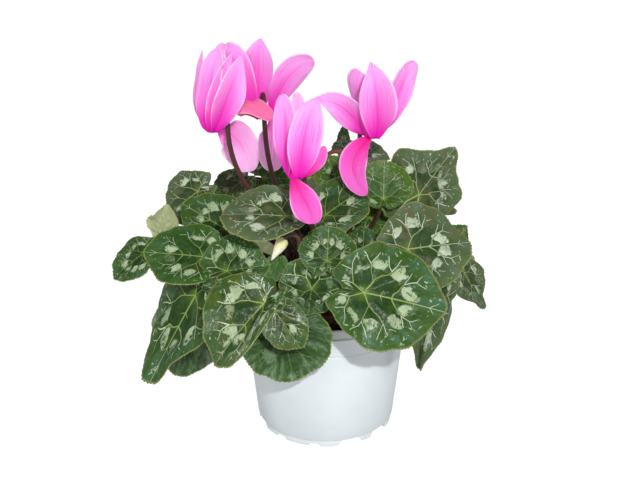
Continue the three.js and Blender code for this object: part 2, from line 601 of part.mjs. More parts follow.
function tuberSolid() {
  const outline = [
    [0, TUBER_BASE], [20, TUBER_BASE], [TUBER_RADIUS, TUBER_BASE + 4], [TUBER_RADIUS, SOIL_Z + 2],
    [TUBER_RADIUS - 1.5, TUBER_TOP - 1], [16, TUBER_TOP], [0, TUBER_TOP],
  ];
  let tuber = solid(turned(outline, TUBER_SIDES));
  const thick = new Set([...BLOOMS, ...BUDS].map((one) => one.name));
  for (const [name, place] of SOCKETS) {
    const radius = (thick.has(name) ? STEM_ROOT : STALK_ROOT) + 2 * CLEAR;
    const drill = new THREE.CylinderGeometry(radius, radius, 10, STEM_SIDES);
    drill.rotateX(Math.PI / 2).translate(place.x, place.y, SOCKET_FLOOR + 5);
    tuber = tuber.subtract(solid(drill));
  }
  return tuber;
}

const plant = new THREE.Group();

function addPart(name, body, color, roughness) {
  const material = new THREE.MeshStandardMaterial({ color, roughness, metalness: 0, side: THREE.DoubleSide });
  const mesh = new THREE.Mesh(geometryOf(body), material);
  mesh.name = name;
  plant.add(mesh);
}

addPart('pot', potSolid(), 0xdfe6ea, 0.45);
addPart('soil', soilSolid(), 0x2b1f17, 0.95);
addPart('tuber', tuberSolid(), 0x4a3527, 0.85);
for (const leaf of LEAVES) addPart(`leaf_${leaf.name}`, leafSolid(leaf), 0x3f6b3c, 0.5);
for (const bloom of BLOOMS) {
  addPart(`petals_${bloom.name}`, corollaSolid(bloom), 0xff6fd8, 0.55);
  addPart(`stem_${bloom.name}`, stemSolid(bloom), 0x4a2320, 0.5);
}
for (const bud of BUDS) {
  const { stem, bud: head } = budPieces(bud);
  addPart(`bud_${bud.name}`, head, 0xf2efd2, 0.55);
  addPart(`stem_bud_${bud.name}`, stem, 0x5c2f24, 0.5);
}

export default plant;
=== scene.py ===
"""A flowering cyclamen in its round growing pot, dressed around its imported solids. Metres, +Z up."""
import logging
import math
from collections.abc import Callable
from dataclasses import dataclass, field
from enum import Enum

import bpy
import numpy as np
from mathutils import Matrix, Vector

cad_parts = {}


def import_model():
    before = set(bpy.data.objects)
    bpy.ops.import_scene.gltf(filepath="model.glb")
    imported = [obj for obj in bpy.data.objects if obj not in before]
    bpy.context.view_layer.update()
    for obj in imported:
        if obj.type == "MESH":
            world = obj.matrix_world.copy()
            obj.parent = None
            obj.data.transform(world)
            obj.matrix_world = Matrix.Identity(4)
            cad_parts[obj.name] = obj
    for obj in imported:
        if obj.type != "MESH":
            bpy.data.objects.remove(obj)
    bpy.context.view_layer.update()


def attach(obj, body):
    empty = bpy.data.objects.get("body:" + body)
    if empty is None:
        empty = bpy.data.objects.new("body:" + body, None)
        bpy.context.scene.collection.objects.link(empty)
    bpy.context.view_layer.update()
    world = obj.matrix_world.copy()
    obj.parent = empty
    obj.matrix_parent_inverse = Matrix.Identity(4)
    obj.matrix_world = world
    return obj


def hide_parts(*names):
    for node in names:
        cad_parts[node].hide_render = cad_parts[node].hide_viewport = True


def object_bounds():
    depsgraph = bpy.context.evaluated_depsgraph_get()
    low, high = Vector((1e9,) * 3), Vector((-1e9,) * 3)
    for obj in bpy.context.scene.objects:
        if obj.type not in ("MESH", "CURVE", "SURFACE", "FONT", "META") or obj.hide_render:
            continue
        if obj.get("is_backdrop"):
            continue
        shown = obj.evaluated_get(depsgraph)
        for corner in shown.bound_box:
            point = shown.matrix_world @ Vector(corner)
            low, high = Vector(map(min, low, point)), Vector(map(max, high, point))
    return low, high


LOG = logging.getLogger("cyclamen")
MM = 0.001
UP = np.array([0.0, 0.0, 1.0])
MERGE_GAP = 2e-6
PURE_WHITE = (1.0, 1.0, 1.0, 1.0)
# A leaf's notch, and the angles from its tip to the ribs on each side, in radians.
SINUS = 0.1
RIB_ANGLES = (0.0, 0.37, 0.85, 1.5, 2.35, math.pi)

Colour = tuple[float, float, float, float]
Place = tuple[float, float, float]
Shares = tuple[np.ndarray, np.ndarray]
Ripple = Callable[[np.ndarray], np.ndarray]


def tint(red: float, green: float, blue: float) -> Colour:
    """Turns a screen colour into the linear one that shaders take.

    Args:
        red: Red from 0 to 255.
        green: Green from 0 to 255.
        blue: Blue from 0 to 255.

    Returns:
        The linear colour with full alpha.
    """
    parts = [value / 255 for value in (red, green, blue)]
    line = [v / 12.92 if v <= 0.04045 else ((v + 0.055) / 1.055) ** 2.4 for v in parts]
    return (*line, 1.0)


def smooth(value: np.ndarray | float, low: float, high: float) -> np.ndarray:
    """Rises smoothly from 0 at low to 1 at high."""
    share = np.clip((value - low) / (high - low), 0, 1)
    return share * share * (3 - 2 * share)


def unit(vector: np.ndarray) -> np.ndarray:
    """Scales a vector, or each row of vectors, to length 1."""
    return vector / np.linalg.norm(vector, axis=-1, keepdims=True)


def bearing(degrees: float) -> np.ndarray:
    """Gives the level direction at a bearing."""
    turn = math.radians(degrees)
    return np.array([math.cos(turn), math.sin(turn), 0.0])


def bezier(corners: list[np.ndarray], share: np.ndarray) -> np.ndarray:
    """Follows a cubic curve.

    Args:
        corners: Its start, two handles and end.
        share: How far along, from 0 to 1.

    Returns:
        One point for each share.
    """
    t = np.asarray(share)[:, None]
    a, b, c, d = corners
    return (1 - t) ** 3 * a + 3 * (1 - t) ** 2 * t * b + 3 * (1 - t) * t * t * c + t ** 3 * d


def bezier_slope(corners: list[np.ndarray], share: np.ndarray) -> np.ndarray:
    """Gives the direction of a cubic curve.

    Args:
        corners: Its start, two handles and end.
        share: How far along, from 0 to 1.

    Returns:
        One unit vector for each share.
    """
    t = np.asarray(share)[:, None]
    a, b, c, d = corners
    return unit((1 - t) ** 2 * (b - a) + 2 * (1 - t) * t * (c - b) + t * t * (d - c))


# Meshes


def select(*pieces: bpy.types.Object) -> None:
    """Selects these pieces only and makes the first one active.

    Args:
        pieces: One object or more.
    """
    bpy.ops.object.select_all(action="DESELECT")
    for piece in pieces:
        piece.select_set(True)
    bpy.context.view_layer.objects.active = pieces[0]


def mend(piece: bpy.types.Object, outward: bool) -> None:
    """Merges the points that meet and settles which way the faces look.

    Args:
        piece: The mesh object.
        outward: True for a closed body, whose faces are turned out.
    """
    select(piece)
    bpy.ops.object.mode_set(mode="EDIT")
    bpy.ops.mesh.select_all(action="SELECT")
    bpy.ops.mesh.remove_doubles(threshold=MERGE_GAP)
    if outward:
        bpy.ops.mesh.normals_make_consistent(inside=False)
    bpy.ops.object.mode_set(mode="OBJECT")
    bpy.ops.object.shade_smooth()


def sheet(name: str, columns: int, rows: int) -> tuple[bpy.types.Object, np.ndarray, np.ndarray]:
    """Adds a flat grid that is still to be laid over a shape.

    Args:
        name: The new object's name.
        columns: Faces across.
        rows: Faces along.

    Returns:
        The new mesh object, and each point's share of the way across and along.
    """
    bpy.ops.mesh.primitive_grid_add(x_subdivisions=columns, y_subdivisions=rows, size=2)
    piece = bpy.context.object
    piece.name = name
    piece.data.name = name
    flat = np.empty(len(piece.data.vertices) * 3)
    piece.data.vertices.foreach_get("co", flat)
    shares = (flat.reshape(-1, 3) + 1) / 2
    return piece, shares[:, 0], shares[:, 1]


def lay(piece: bpy.types.Object, points: np.ndarray, ribs: Shares, plan: Shares, seed: float,
        closed: bool, *finishes: "Finish") -> bpy.types.Object:
    """Lays a grid over a shape, mends it and dresses it.

    Args:
        piece: The grid.
        points: Where its points go, in millimetres.
        ribs: Their places on the map "Ribs".
        plan: Their flat places, kept in the attribute "plan".
        seed: Sets the material's pattern apart, and is kept there too.
        closed: True for a closed body.
        finishes: What its material slots hold.

    Returns:
        The grid.
    """
    mesh = piece.data
    mesh.vertices.foreach_set("co", (points * MM).ravel())
    corner = np.empty(len(mesh.loops), int)
    mesh.loops.foreach_get("vertex_index", corner)
    layer = mesh.uv_layers[0]
    layer.name = "Ribs"
    layer.uv.foreach_set("vector", np.stack(ribs, 1)[corner].astype(np.float32).ravel())
    flat = np.stack([*plan, np.full(len(points), seed)], 1)
    mesh.attributes.new("plan", "FLOAT_VECTOR", "POINT")
    mesh.attributes["plan"].data.foreach_set("vector", flat.astype(np.float32).ravel())
    mesh.update()
    mend(piece, outward=closed)
    for finish in finishes:
        mesh.materials.append(finish.material())
    return piece


def finish_with(piece: bpy.types.Object, kind: str, **settings: object) -> None:
    """Adds a modifier and applies it.

    Args:
        piece: The mesh object.
        kind: The modifier's type.
        settings: The modifier's settings.
    """
    select(piece)
    modifier = piece.modifiers.new(kind.title(), kind)
    for key, value in settings.items():
        setattr(modifier, key, value)
    bpy.ops.object.modifier_apply(modifier=modifier.name)


def joined(name: str, *pieces: bpy.types.Object) -> bpy.types.Object:
    """Joins meshes into the first one.

    Args:
        name: The joined object's name.
        pieces: The mesh objects.

    Returns:
        The joined object.
    """
    select(*pieces)
    bpy.ops.object.join()
    pieces[0].name = name
    pieces[0].data.name = name
    return pieces[0]


def tube(name: str, line: np.ndarray, radii: np.ndarray, sides: int, seed: float, finish: "Finish",
         ripple: Ripple | None = None) -> bpy.types.Object:
    """Makes a closed round bar along a line.

    Args:
        name: The new object's name.
        line: Its middle points in millimetres.
        radii: Its radius at each point.
        sides: How many faces go round it.
        seed: Sets its material's pattern apart.
        finish: What it is made of.
        ripple: Moves the points of the round bar.

    Returns:
        The new mesh object.
    """
    along = unit(np.gradient(line, axis=0))
    side = np.array([1.0, 0.0, 0.0])
    across = []
    for way in along:
        side = unit(side - way * side.dot(way))
        across.append(side)
    first = np.array(across)
    second = np.cross(along, first)
    last = len(line) - 1
    piece, u, v = sheet(name, sides, last + 2)
    row = np.rint(v * (last + 2)).astype(int)
    station = np.clip(row - 1, 0, last)
    girth = np.where((row == 0) | (row == last + 2), 0, radii[station])[:, None]
    turn = (u * 2 * math.pi)[:, None]
    points = line[station] + (first[station] * np.cos(turn) + second[station] * np.sin(turn)) * girth
    if ripple:
        points = ripple(points)
    return lay(piece, points, (u, station / last), (u, station / last), seed, True, finish)


def lathed(name: str, outline: list[tuple[float, float]], sides: int, finish: "Finish",
           ripple: Ripple | None = None, stretch: float = 1.0) -> bpy.types.Object:
    """Turns an outline round the upright axis.

    Args:
        name: The new object's name.
        outline: Radius and height pairs in millimetres, from axis to axis.
        sides: How many faces go round it.
        finish: What it is made of.
        ripple: Moves the points of the round body.
        stretch: How much of the map's length it takes up.

    Returns:
        The new mesh object.
    """
    rim = np.array(outline, float)
    piece, u, v = sheet(name, sides, len(rim) - 1)
    radius, height = rim[np.rint(v * (len(rim) - 1)).astype(int)].T
    turn = u * 2 * math.pi
    points = np.stack([radius * np.cos(turn), radius * np.sin(turn), height], 1)
    if ripple:
        points = ripple(points)
    return lay(piece, points, (u, v * stretch), (u, v), 0.0, True, finish)


def lobed(points: np.ndarray, depth: float, where: np.ndarray, at: np.ndarray) -> np.ndarray:
    """Draws a round body in between five lobes and moves it to its place.

    Args:
        points: Its points round the upright axis.
        depth: How far it is drawn in, as a share; below 0 the lobes change places with the gaps.
        where: True at the points that are drawn in.
        at: Its place.

    Returns:
        The moved points.
    """
    turn = np.arctan2(points[:, 1], points[:, 0])
    lobe = 1 - (abs(depth) + depth * np.cos(5 * turn)) / 2 * where
    return points * np.stack([lobe, lobe, lobe * 0 + 1], 1) + at


def install(piece: bpy.types.Object, node: str | None) -> None:
    """Puts a finished piece in the place of its solid.

    Args:
        piece: The mesh object.
        node: The solid that it stands for, if there is one.
    """
    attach(piece, "root")
    if node:
        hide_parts(node)
    LOG.info("%s, %d faces, in place of %s", piece.name, len(piece.data.polygons), node or "nothing")


# Shader nodes


@dataclass(frozen=True)
class Wire:
    """An output socket that takes part in sums."""

    board: "Board"
    socket: bpy.types.NodeSocket

    def __add__(self, other: "Wire | float") -> "Wire":
        """Adds."""
        return self.board.math("ADD", self, other)

    def __radd__(self, other: float) -> "Wire":
        """Adds to a number."""
        return self.board.math("ADD", other, self)

    def __sub__(self, other: "Wire | float") -> "Wire":
        """Subtracts."""
        return self.board.math("SUBTRACT", self, other)

    def __rsub__(self, other: float) -> "Wire":
        """Subtracts from a number."""
        return self.board.math("SUBTRACT", other, self)

    def __mul__(self, other: "Wire | float") -> "Wire":
        """Multiplies."""
        return self.board.math("MULTIPLY", self, other)

    def __truediv__(self, other: "Wire | float") -> "Wire":
        """Divides."""
        return self.board.math("DIVIDE", self, other)


Value = Wire | float | tuple


class Board:
    """Places and wires the nodes of one shader tree."""

    def __init__(self, tree: bpy.types.NodeTree) -> None:
        """Takes the tree to work in."""
        self.tree = tree

    def feed(self, socket: bpy.types.NodeSocket, value: Value) -> None:
        """Wires a socket, or sets it to a plain value.

        Args:
            socket: The input.
            value: The output or the plain value that it takes.
        """
        if isinstance(value, Wire):
            self.tree.links.new(value.socket, socket)
        else:
            socket.default_value = value

    def node(self, kind: str, inputs: dict[int | str, Value], **settings: object) -> bpy.types.Node:
        """Adds a node and feeds it.

        Args:
            kind: The node's type, without its common prefix.
            inputs: What its inputs take, by place or name.
            settings: The node's settings.

        Returns:
            The new node.
        """
        node = self.tree.nodes.new("ShaderNode" + kind)
        for key, value in settings.items():
            setattr(node, key, value)
        for key, value in inputs.items():
            self.feed(node.inputs[key], value)
        return node

    def read(self, kind: str, inputs: dict[int | str, Value], output: int | str = 0,
             **settings: object) -> Wire:
        """Adds a node as above and gives one of its outputs."""
        return Wire(self, self.node(kind, inputs, **settings).outputs[output])

    def math(self, operation: str, *values: Value) -> Wire:
        """Does a sum."""
        return self.read("Math", dict(enumerate(values)), operation=operation)

    def step(self, value: Value, low: Value, high: Value) -> Wire:
        """Rises smoothly from 0 at low to 1 at high, which may lie below low."""
        inputs = {"Value": value, "From Min": low, "From Max": high}
        return self.read("MapRange", inputs, interpolation_type="SMOOTHSTEP")

    def mix(self, share: Value, under: Value, over: Value) -> Wire:
        """Lays one colour over another through a mask."""
        return self.read("Mix", {0: share, 6: under, 7: over}, 2, data_type="RGBA")

    def layers(self, colour: Value, *coats: tuple[Value, Value]) -> Value:
        """Lays colours over one another.

        Args:
            colour: The lowest colour.
            coats: The mask and the colour of each one above it.

        Returns:
            The mixed colour.
        """
        for share, over in coats:
            colour = self.mix(share, colour, over)
        return colour

    def noise(self, place: Wire, scale: float, detail: float = 3, rough: float = 0.5) -> Wire:
        """Gives soft noise about 0.5, with detail finer layers that are rough times as strong."""
        inputs = {"Vector": place, "Scale": scale, "Detail": detail, "Roughness": rough}
        return self.read("TexNoise", inputs)

    def cells(self, place: Wire, scale: float, feature: str = "F1") -> Wire:
        """Gives the distance to a feature of a pattern of cells."""
        return self.read("TexVoronoi", {"Vector": place, "Scale": scale}, "Distance", feature=feature)

    def chance(self, *place: Value) -> Wire:
        """Gives an even random value for a place."""
        return self.read("TexWhiteNoise", {"Vector": self.vector(*place)}, "Value", noise_dimensions="3D")

    def vector(self, *parts: Value) -> Wire:
        """Makes a vector of three values."""
        return self.read("CombineXYZ", dict(enumerate(parts)))

    def vector_math(self, operation: str, first: Value, second: Value, output: str = "Vector") -> Wire:
        """Does a sum with two vectors, or with a vector and a scale."""
        inputs = {0: first, "Scale" if operation == "SCALE" else 1: second}
        return self.read("VectorMath", inputs, output, operation=operation)

    def split(self, vector: Wire) -> list[Wire]:
        """Takes a vector apart."""
        return [Wire(self, socket) for socket in self.node("SeparateXYZ", {0: vector}).outputs]

    def ribs(self) -> Wire:
        """Reads the piece's own map."""
        return self.read("UVMap", {}, uv_map="Ribs")

    def plan(self) -> Wire:
        """Reads the piece's own attribute."""
        return self.read("Attribute", {}, "Vector", attribute_name="plan")

    def body(self) -> Wire:
        """Reads the place on the object."""
        return self.read("TexCoord", {}, "Object")

    def bump(self, height: Wire, depth: float, strength: float = 1.0) -> Wire:
        """Gives the normal of a relief that is depth metres deep."""
        return self.read("Bump", {"Strength": strength, "Distance": depth, "Height": height})


@dataclass(frozen=True)
class Effect:
    """Masks that several materials share, drawn once as a node group."""

    name: str
    inputs: tuple[str, ...]
    draw: Callable[[Board, dict[str, Wire]], dict[str, Wire]]

    def group(self) -> bpy.types.NodeTree:
        """Draws the masks in a new node group.

        Returns:
            The node group.
        """
        tree = bpy.data.node_groups.new(self.name, "ShaderNodeTree")
        board = Board(tree)
        for key in self.inputs:
            tree.interface.new_socket(key, in_out="INPUT", socket_type="NodeSocketFloat")
        source = tree.nodes.new("NodeGroupInput")
        outputs = self.draw(board, {key: Wire(board, source.outputs[key]) for key in self.inputs})
        for key in outputs:
            tree.interface.new_socket(key, in_out="OUTPUT", socket_type="NodeSocketFloat")
        target = tree.nodes.new("NodeGroupOutput")
        for key, value in outputs.items():
            board.feed(target.inputs[key], value)
        return tree

    def place(self, board: Board, **values: float) -> dict[str, Wire]:
        """Places the group in a material.

        Args:
            board: Where it goes.
            values: What its inputs are set to.

        Returns:
            Its outputs by name.
        """
        tree = bpy.data.node_groups.get(self.name) or self.group()
        node = board.node("Group", values, node_tree=tree)
        return {socket.name: Wire(board, socket) for socket in node.outputs}


@dataclass(frozen=True)
class Vein:
    """One stretch of a rib on a leaf 1 long, from start to end, with its half-width at both.

    x runs from the stalk to the tip.
    """

    start: tuple[float, float]
    end: tuple[float, float]
    wide: float
    slim: float

    def measure(self, board: Board, place: Wire) -> Wire:
        """Measures how far a place is from the stretch, with nodes.

        Args:
            board: Where the nodes go.
            place: The place on the leaf.

        Returns:
            The distance from it over its half-width.
        """
        run = (self.end[0] - self.start[0], self.end[1] - self.start[1], 0.0)
        square = run[0] ** 2 + run[1] ** 2
        offset = board.vector_math("SUBTRACT", place, (*self.start, 0.0))
        share = board.vector_math("DOT_PRODUCT", offset, tuple(part / square for part in run), "Value")
        share = board.math("MINIMUM", board.math("MAXIMUM", share, 0.0), 1.0)
        gap = board.vector_math("DISTANCE", offset, board.vector_math("SCALE", run, share), "Value")
        return gap / (share * (self.slim - self.wide) + self.wide)

    def distance(self, x: np.ndarray, y: np.ndarray) -> np.ndarray:
        """Measures how far points are from the stretch, with numbers.

        Args:
            x: Their places along the leaf.
            y: Their places across it.

        Returns:
            Their distances.
        """
        run = np.array(self.end) - np.array(self.start)
        offset = np.stack([x, y], 1) - np.array(self.start)
        share = np.clip(offset @ run / (run @ run), 0, 1)
        return np.linalg.norm(offset - np.outer(share, run), axis=1)


RIBS = (
    Vein((0.0, 0.0), (0.4, 0.0), 0.013, 0.011),
    Vein((0.4, 0.0), (1.02, 0.0), 0.011, 0.005),
    Vein((0.35, 0.0), (0.54, 0.21), 0.009, 0.008),
    Vein((0.0, 0.0), (0.1, 0.17), 0.011, 0.009),
    Vein((0.1, 0.17), (0.33, 0.37), 0.009, 0.008),
    Vein((0.1, 0.17), (0.03, 0.37), 0.008, 0.007),
    Vein((0.0, 0.0), (-0.14, 0.08), 0.01, 0.009),
    Vein((-0.14, 0.08), (-0.19, 0.24), 0.008, 0.007),
    Vein((0.2, 0.0), (0.26, 0.07), 0.007, 0.003),
    Vein((0.6, 0.0), (0.68, 0.08), 0.006, 0.003),
)
PRONGS = (
    Vein((0.54, 0.21), (0.62, 0.36), 0.008, 0.006),
    Vein((0.54, 0.21), (0.68, 0.25), 0.008, 0.006),
    Vein((0.68, 0.25), (0.8, 0.2), 0.006, 0.004),
    Vein((0.68, 0.25), (0.76, 0.36), 0.005, 0.004),
    Vein((0.33, 0.37), (0.25, 0.54), 0.008, 0.005),
    Vein((0.33, 0.37), (0.42, 0.52), 0.008, 0.005),
    Vein((0.42, 0.44), (0.53, 0.45), 0.006, 0.004),
    Vein((0.03, 0.37), (-0.07, 0.5), 0.007, 0.005),
    Vein((0.03, 0.37), (0.12, 0.54), 0.007, 0.005),
    Vein((-0.14, 0.08), (-0.33, 0.1), 0.007, 0.005),
    Vein((-0.19, 0.24), (-0.31, 0.27), 0.007, 0.005),
    Vein((-0.19, 0.24), (-0.17, 0.42), 0.007, 0.005),
    Vein((0.84, 0.0), (0.93, 0.07), 0.006, 0.004),
)


def nearest(board: Board, place: Wire, veins: tuple[Vein, ...]) -> Wire:
    """Measures how far a place is from the nearest of some veins.

    Args:
        board: Where the nodes go.
        place: The place on the leaf.
        veins: The veins.

    Returns:
        The distance over the half-width of that vein.
    """
    near = veins[0].measure(board, place)
    for vein in veins[1:]:
        near = board.math("MINIMUM", vein.measure(board, place), near)
    return near


def leaf_marks(board: Board, given: dict[str, Wire]) -> dict[str, Wire]:
    """Draws a leaf's ribs, forks, silver fields, net, heart and rim.

    Args:
        board: Where the nodes go.
        given: The effect's inputs.

    Returns:
        One mask for each mark.
    """
    # turn counts the fields between the ribs from the tip round, and part goes from 0 to 1 at the edge.
    turn, part, _ = board.split(board.ribs())
    plan = board.plan()
    x, y, seed = board.split(plan)
    reach = board.math("SQRT", x * x + y * y)
    fine = board.noise(plan, 13, 5, 0.62) - 0.5
    broad = board.noise(plan, 5, 3) - 0.5

    # The ribs and prongs are drawn for one half and swayed, so that the other half is no mirror image.
    lean = board.noise(board.vector(x, y, seed + 3.5), 4, 1) - 0.5
    shift = board.noise(board.vector(x, y, seed + 7.5), 4, 1) - 0.5
    sway = board.step(reach, 0.05, 0.4) * 0.13
    aside = board.math("ABSOLUTE", y)
    swayed = aside + sway * shift * board.step(aside, 0.0, 0.12)
    place = board.vector(x + sway * lean + fine * 0.008, swayed, 0.0)
    ribs, prongs = (nearest(board, place, veins) for veins in (RIBS, PRONGS))
    worn = board.noise(plan, 34, 2) * 0.9

    # Each field has its own chance of a silver cloud, and its own place and size for it.
    number = board.math("FLOOR", turn)
    girth = board.chance(number, seed, 9.5)
    plot = board.chance(number, seed, 4.5)
    ragged = board.noise(plan, 10, 4, 0.6) - 0.5
    middle = board.math("ABSOLUTE", turn - number - (0.36 + girth * 0.28)) + ragged * 0.5
    half = 0.26 + plot * 0.26
    bulge = middle / half
    bulge = bulge * bulge * 0.05
    inner = 0.47 + bulge + broad * 0.16
    outer = 0.6 + girth * 0.12 - bulge + ragged * 0.5 + fine * 0.14
    spots = board.step(board.noise(plan, 19, 2), 0.64, 0.69) * board.step(part, 0.72, 0.78)
    silver = board.step(part - inner, -0.005, 0.02) * board.step(outer - part, -0.01, 0.03)
    silver = silver * board.step(middle, half, half - 0.09)
    silver = silver * board.step(plot * 0.6 + girth * 0.4 + given["Silver"], 0.97, 1.07)
    dots = board.step(board.cells(plan, 30), 0.32, 0.16) * board.step(part, 0.52, 0.6)
    veined = board.step(board.math("MINIMUM", ribs, prongs), 2.6, 1.4) * 0.7
    holes = board.step(fine, 0.02, 0.1) * board.step(girth, 0.75, 0.35) * 0.8
    for gap in (dots, veined, holes):
        silver = silver * (1 - gap)
    return {
        "Ribs": board.step(ribs, 1.3, 0.5),
        "Prongs": board.step(prongs + worn, 1.6, 0.8) * board.step(part, 0.94, 0.9),
        "Silver": silver,
        "Spots": spots * board.step(part, 0.97, 0.9) * board.step(given["Silver"], 0, 0.4),
        "Net": board.step(board.cells(plan, 15, "DISTANCE_TO_EDGE"), 0.09, 0.0),
        "Mottle": board.noise(plan, 4.5, 5, 0.6),
        # Patches where the painted sheen, a stand-in for the sky's reflection, shows.
        "Sheen patches": board.noise(board.vector(turn * 1.6, part * 1.5, seed + 5.5), 1.6, 5, 0.6),
        "Heart": board.step(reach + fine * 0.1, 0.17, 0.02),
        "Outer": board.step(part + broad * 0.25, 0.45, 0.95),
        "Rim": board.step(part + fine * 0.03, 0.964, 0.988),
    }


def cross_grain(board: Board, given: dict[str, Wire]) -> dict[str, Wire]:
    """Draws streaks that run the length of a petal or a stem.

    Args:
        board: Where the nodes go.
        given: The effect's inputs.

    Returns:
        The streaks and a fine even grain.
    """
    across, along, _ = board.split(board.ribs())
    seed = board.split(board.plan())[2]
    stretched = board.vector(across * given["Lines"], along * given["Length"], seed)
    return {
        "Streaks": board.noise(stretched, 1, 3, 0.6),
        "Grain": board.noise(board.body(), 900, 2),
    }


LEAF_MARKS = Effect("Leaf marks", ("Silver",), leaf_marks)
CROSS_GRAIN = Effect("Cross grain", ("Lines", "Length"), cross_grain)


# Finishes


@dataclass(frozen=True)
class Finish:
    """What a surface looks like. Each kind has its own coat."""

    name: str

    def coat(self, board: Board) -> dict[str, Value]:
        """Gives what the shader's inputs take."""
        raise NotImplementedError

    def material(self) -> bpy.types.Material:
        """Makes the material, or finds it.

        Returns:
            The material.
        """
        known = bpy.data.materials.get(self.name)
        if known:
            return known
        material = bpy.data.materials.new(self.name)
        material.use_nodes = True
        board = Board(material.node_tree)
        shader = material.node_tree.nodes["Principled BSDF"]
        for key, value in self.coat(board).items():
            board.feed(shader.inputs[key], value)
        return material


@dataclass(frozen=True)
class LeafFinish(Finish):
    """The upper side of a leaf.

    heart, ground and outer are the greens from the stalk to the rim, and haze is a painted sheen over
    them:
    a cool cast that stands in for the sky's reflection. rib, fork, silver and border are the paler marks,
    and dull a duller cast in blotches. cloud sets how many fields are silver, blotch how much of the dull
    cast shows and hazed how much of the painted sheen. gloss is the roughness, shine the strength of the
    highlights, depth that of the relief, and relief its height in metres.
    """

    heart: Colour = tint(104, 132, 40)
    ground: Colour = tint(26, 54, 8)
    outer: Colour = tint(58, 90, 32)
    painted_sheen: Colour = tint(70, 108, 84)
    rib: Colour = tint(138, 160, 88)
    fork: Colour = tint(188, 204, 170)
    silver: Colour = tint(172, 190, 152)
    border: Colour = tint(138, 146, 80)
    dull: Colour = tint(62, 84, 28)
    cloud: float = 0.5
    blotch: float = 0.5
    painted_sheen_share: float = 1.0
    gloss: float = 0.36
    shine: float = 0.2
    depth: float = 0.8
    relief: float = 0.0005

    def coat(self, board: Board) -> dict[str, Value]:
        """Lays the marks over the greens.

        Args:
            board: Where the nodes go.

        Returns:
            What the shader's inputs take.
        """
        mark = LEAF_MARKS.place(board, Silver=self.cloud)
        mottle, outer, silver = mark["Mottle"], mark["Outer"], mark["Silver"]
        # Painted sheen: a cool cast, in patches and stronger towards the rim, that stands in for the
        # sky's reflection on the leaf.
        painted_sheen = board.step(mark["Sheen patches"], 0.44, 0.66) * (0.2 + outer * 0.5)
        pillow = board.cells(board.body(), 520)
        relief = mottle * 0.9 - mark["Ribs"] * 0.7 - mark["Net"] * 0.35 - mark["Prongs"] * 0.3
        colour = board.layers(
            self.ground,
            (outer * 0.8, self.outer),
            (board.step(mottle, 0.46, 0.64) * self.blotch, self.dull),
            (painted_sheen * self.painted_sheen_share, self.painted_sheen),
            (mark["Net"] * 0.22, self.outer),
            (silver * 0.92, board.mix(board.step(mottle, 0.4, 0.7) * 0.35, self.silver, self.outer)),
            (mark["Spots"] * 0.7, self.silver),
            (mark["Heart"] * 0.45, self.heart),
            (mark["Ribs"] * 0.8, board.mix(outer * 0.6, self.rib, self.fork)),
            (mark["Prongs"] * 0.85, self.fork),
            (mark["Rim"] * 0.7, self.border),
        )
        return {
            "Base Color": colour,
            "Roughness": self.gloss + silver * 0.15 + (mottle - 0.5) * 0.2,
            "Specular IOR Level": self.shine,
            "Normal": board.bump(relief - pillow * pillow * 0.18, self.relief, self.depth),
        }


class Tone(Enum):
    """The kinds of leaf on the plant."""

    PATTERNED = LeafFinish("patterned leaf", cloud=0.66)
    GREYED = LeafFinish("greyed leaf", ground=tint(38, 62, 24), outer=tint(80, 100, 60),
                        painted_sheen=tint(84, 106, 86), rib=tint(158, 174, 122), fork=tint(196, 210, 184),
                        silver=tint(188, 202, 176), dull=tint(92, 90, 58), cloud=0.62, blotch=0.65,
                        gloss=0.45)
    BRIGHT = LeafFinish("bright leaf", heart=tint(124, 152, 50), ground=tint(40, 78, 12),
                        outer=tint(74, 106, 30), cloud=0.36, blotch=0.3, painted_sheen_share=0.4)
    SILVERED = LeafFinish("silvered leaf", ground=tint(26, 60, 10), outer=tint(54, 90, 28), cloud=0.72,
                          painted_sheen_share=0.5)
    GLOSSY = LeafFinish("glossy leaf", ground=tint(24, 54, 10), outer=tint(50, 84, 22),
                        dull=tint(78, 88, 20), blotch=0.8, gloss=0.3, shine=0.5, painted_sheen_share=0.2, depth=0.4)
    DUSKY = LeafFinish("dusky leaf", heart=tint(72, 100, 44), ground=tint(32, 60, 20),
                       outer=tint(56, 86, 38), painted_sheen=tint(120, 146, 116), rib=tint(80, 110, 62),
                       fork=tint(104, 132, 94), silver=tint(104, 132, 96), cloud=0.3, blotch=0.3,
                       painted_sheen_share=1.3)
    # A leaf painted almost black: painted shade that stands in for the deep shade inside the plant, not a
    # leaf's own green.
    SHADED = LeafFinish("painted shade leaf", heart=tint(40, 46, 26), ground=tint(24, 32, 20),
                        outer=tint(34, 42, 28), rib=tint(52, 60, 38), fork=tint(60, 70, 48),
                        silver=tint(56, 66, 46), blotch=0.4)
    PLAIN = LeafFinish("plain leaf", ground=tint(62, 104, 44), outer=tint(86, 124, 62),
                       rib=tint(150, 172, 104), cloud=-0.6, blotch=0.2)


@dataclass(frozen=True)
class UndersideFinish(Finish):
    """The pale lower side of a leaf with its raised ribs."""

    ground: Colour = tint(186, 194, 146)
    shade: Colour = tint(160, 172, 120)
    rib: Colour = tint(206, 210, 168)
    relief: float = 0.0006

    def coat(self, board: Board) -> dict[str, Value]:
        """Lays the ribs and the net over the pale green.

        Args:
            board: Where the nodes go.

        Returns:
            What the shader's inputs take.
        """
        mark = LEAF_MARKS.place(board, Silver=0.0)
        mottle = mark["Mottle"]
        relief = mark["Ribs"] + mark["Net"] * 0.4 + mottle * 0.5
        return {
            "Base Color": board.layers(self.ground, (board.step(mottle, 0.35, 0.7), self.shade),
                                       (mark["Net"] * 0.35, self.rib), (mark["Ribs"], self.rib)),
            "Roughness": 0.5 + mottle * 0.2,
            "Specular IOR Level": 0.3,
            "Normal": board.bump(relief, self.relief, 0.8),
        }


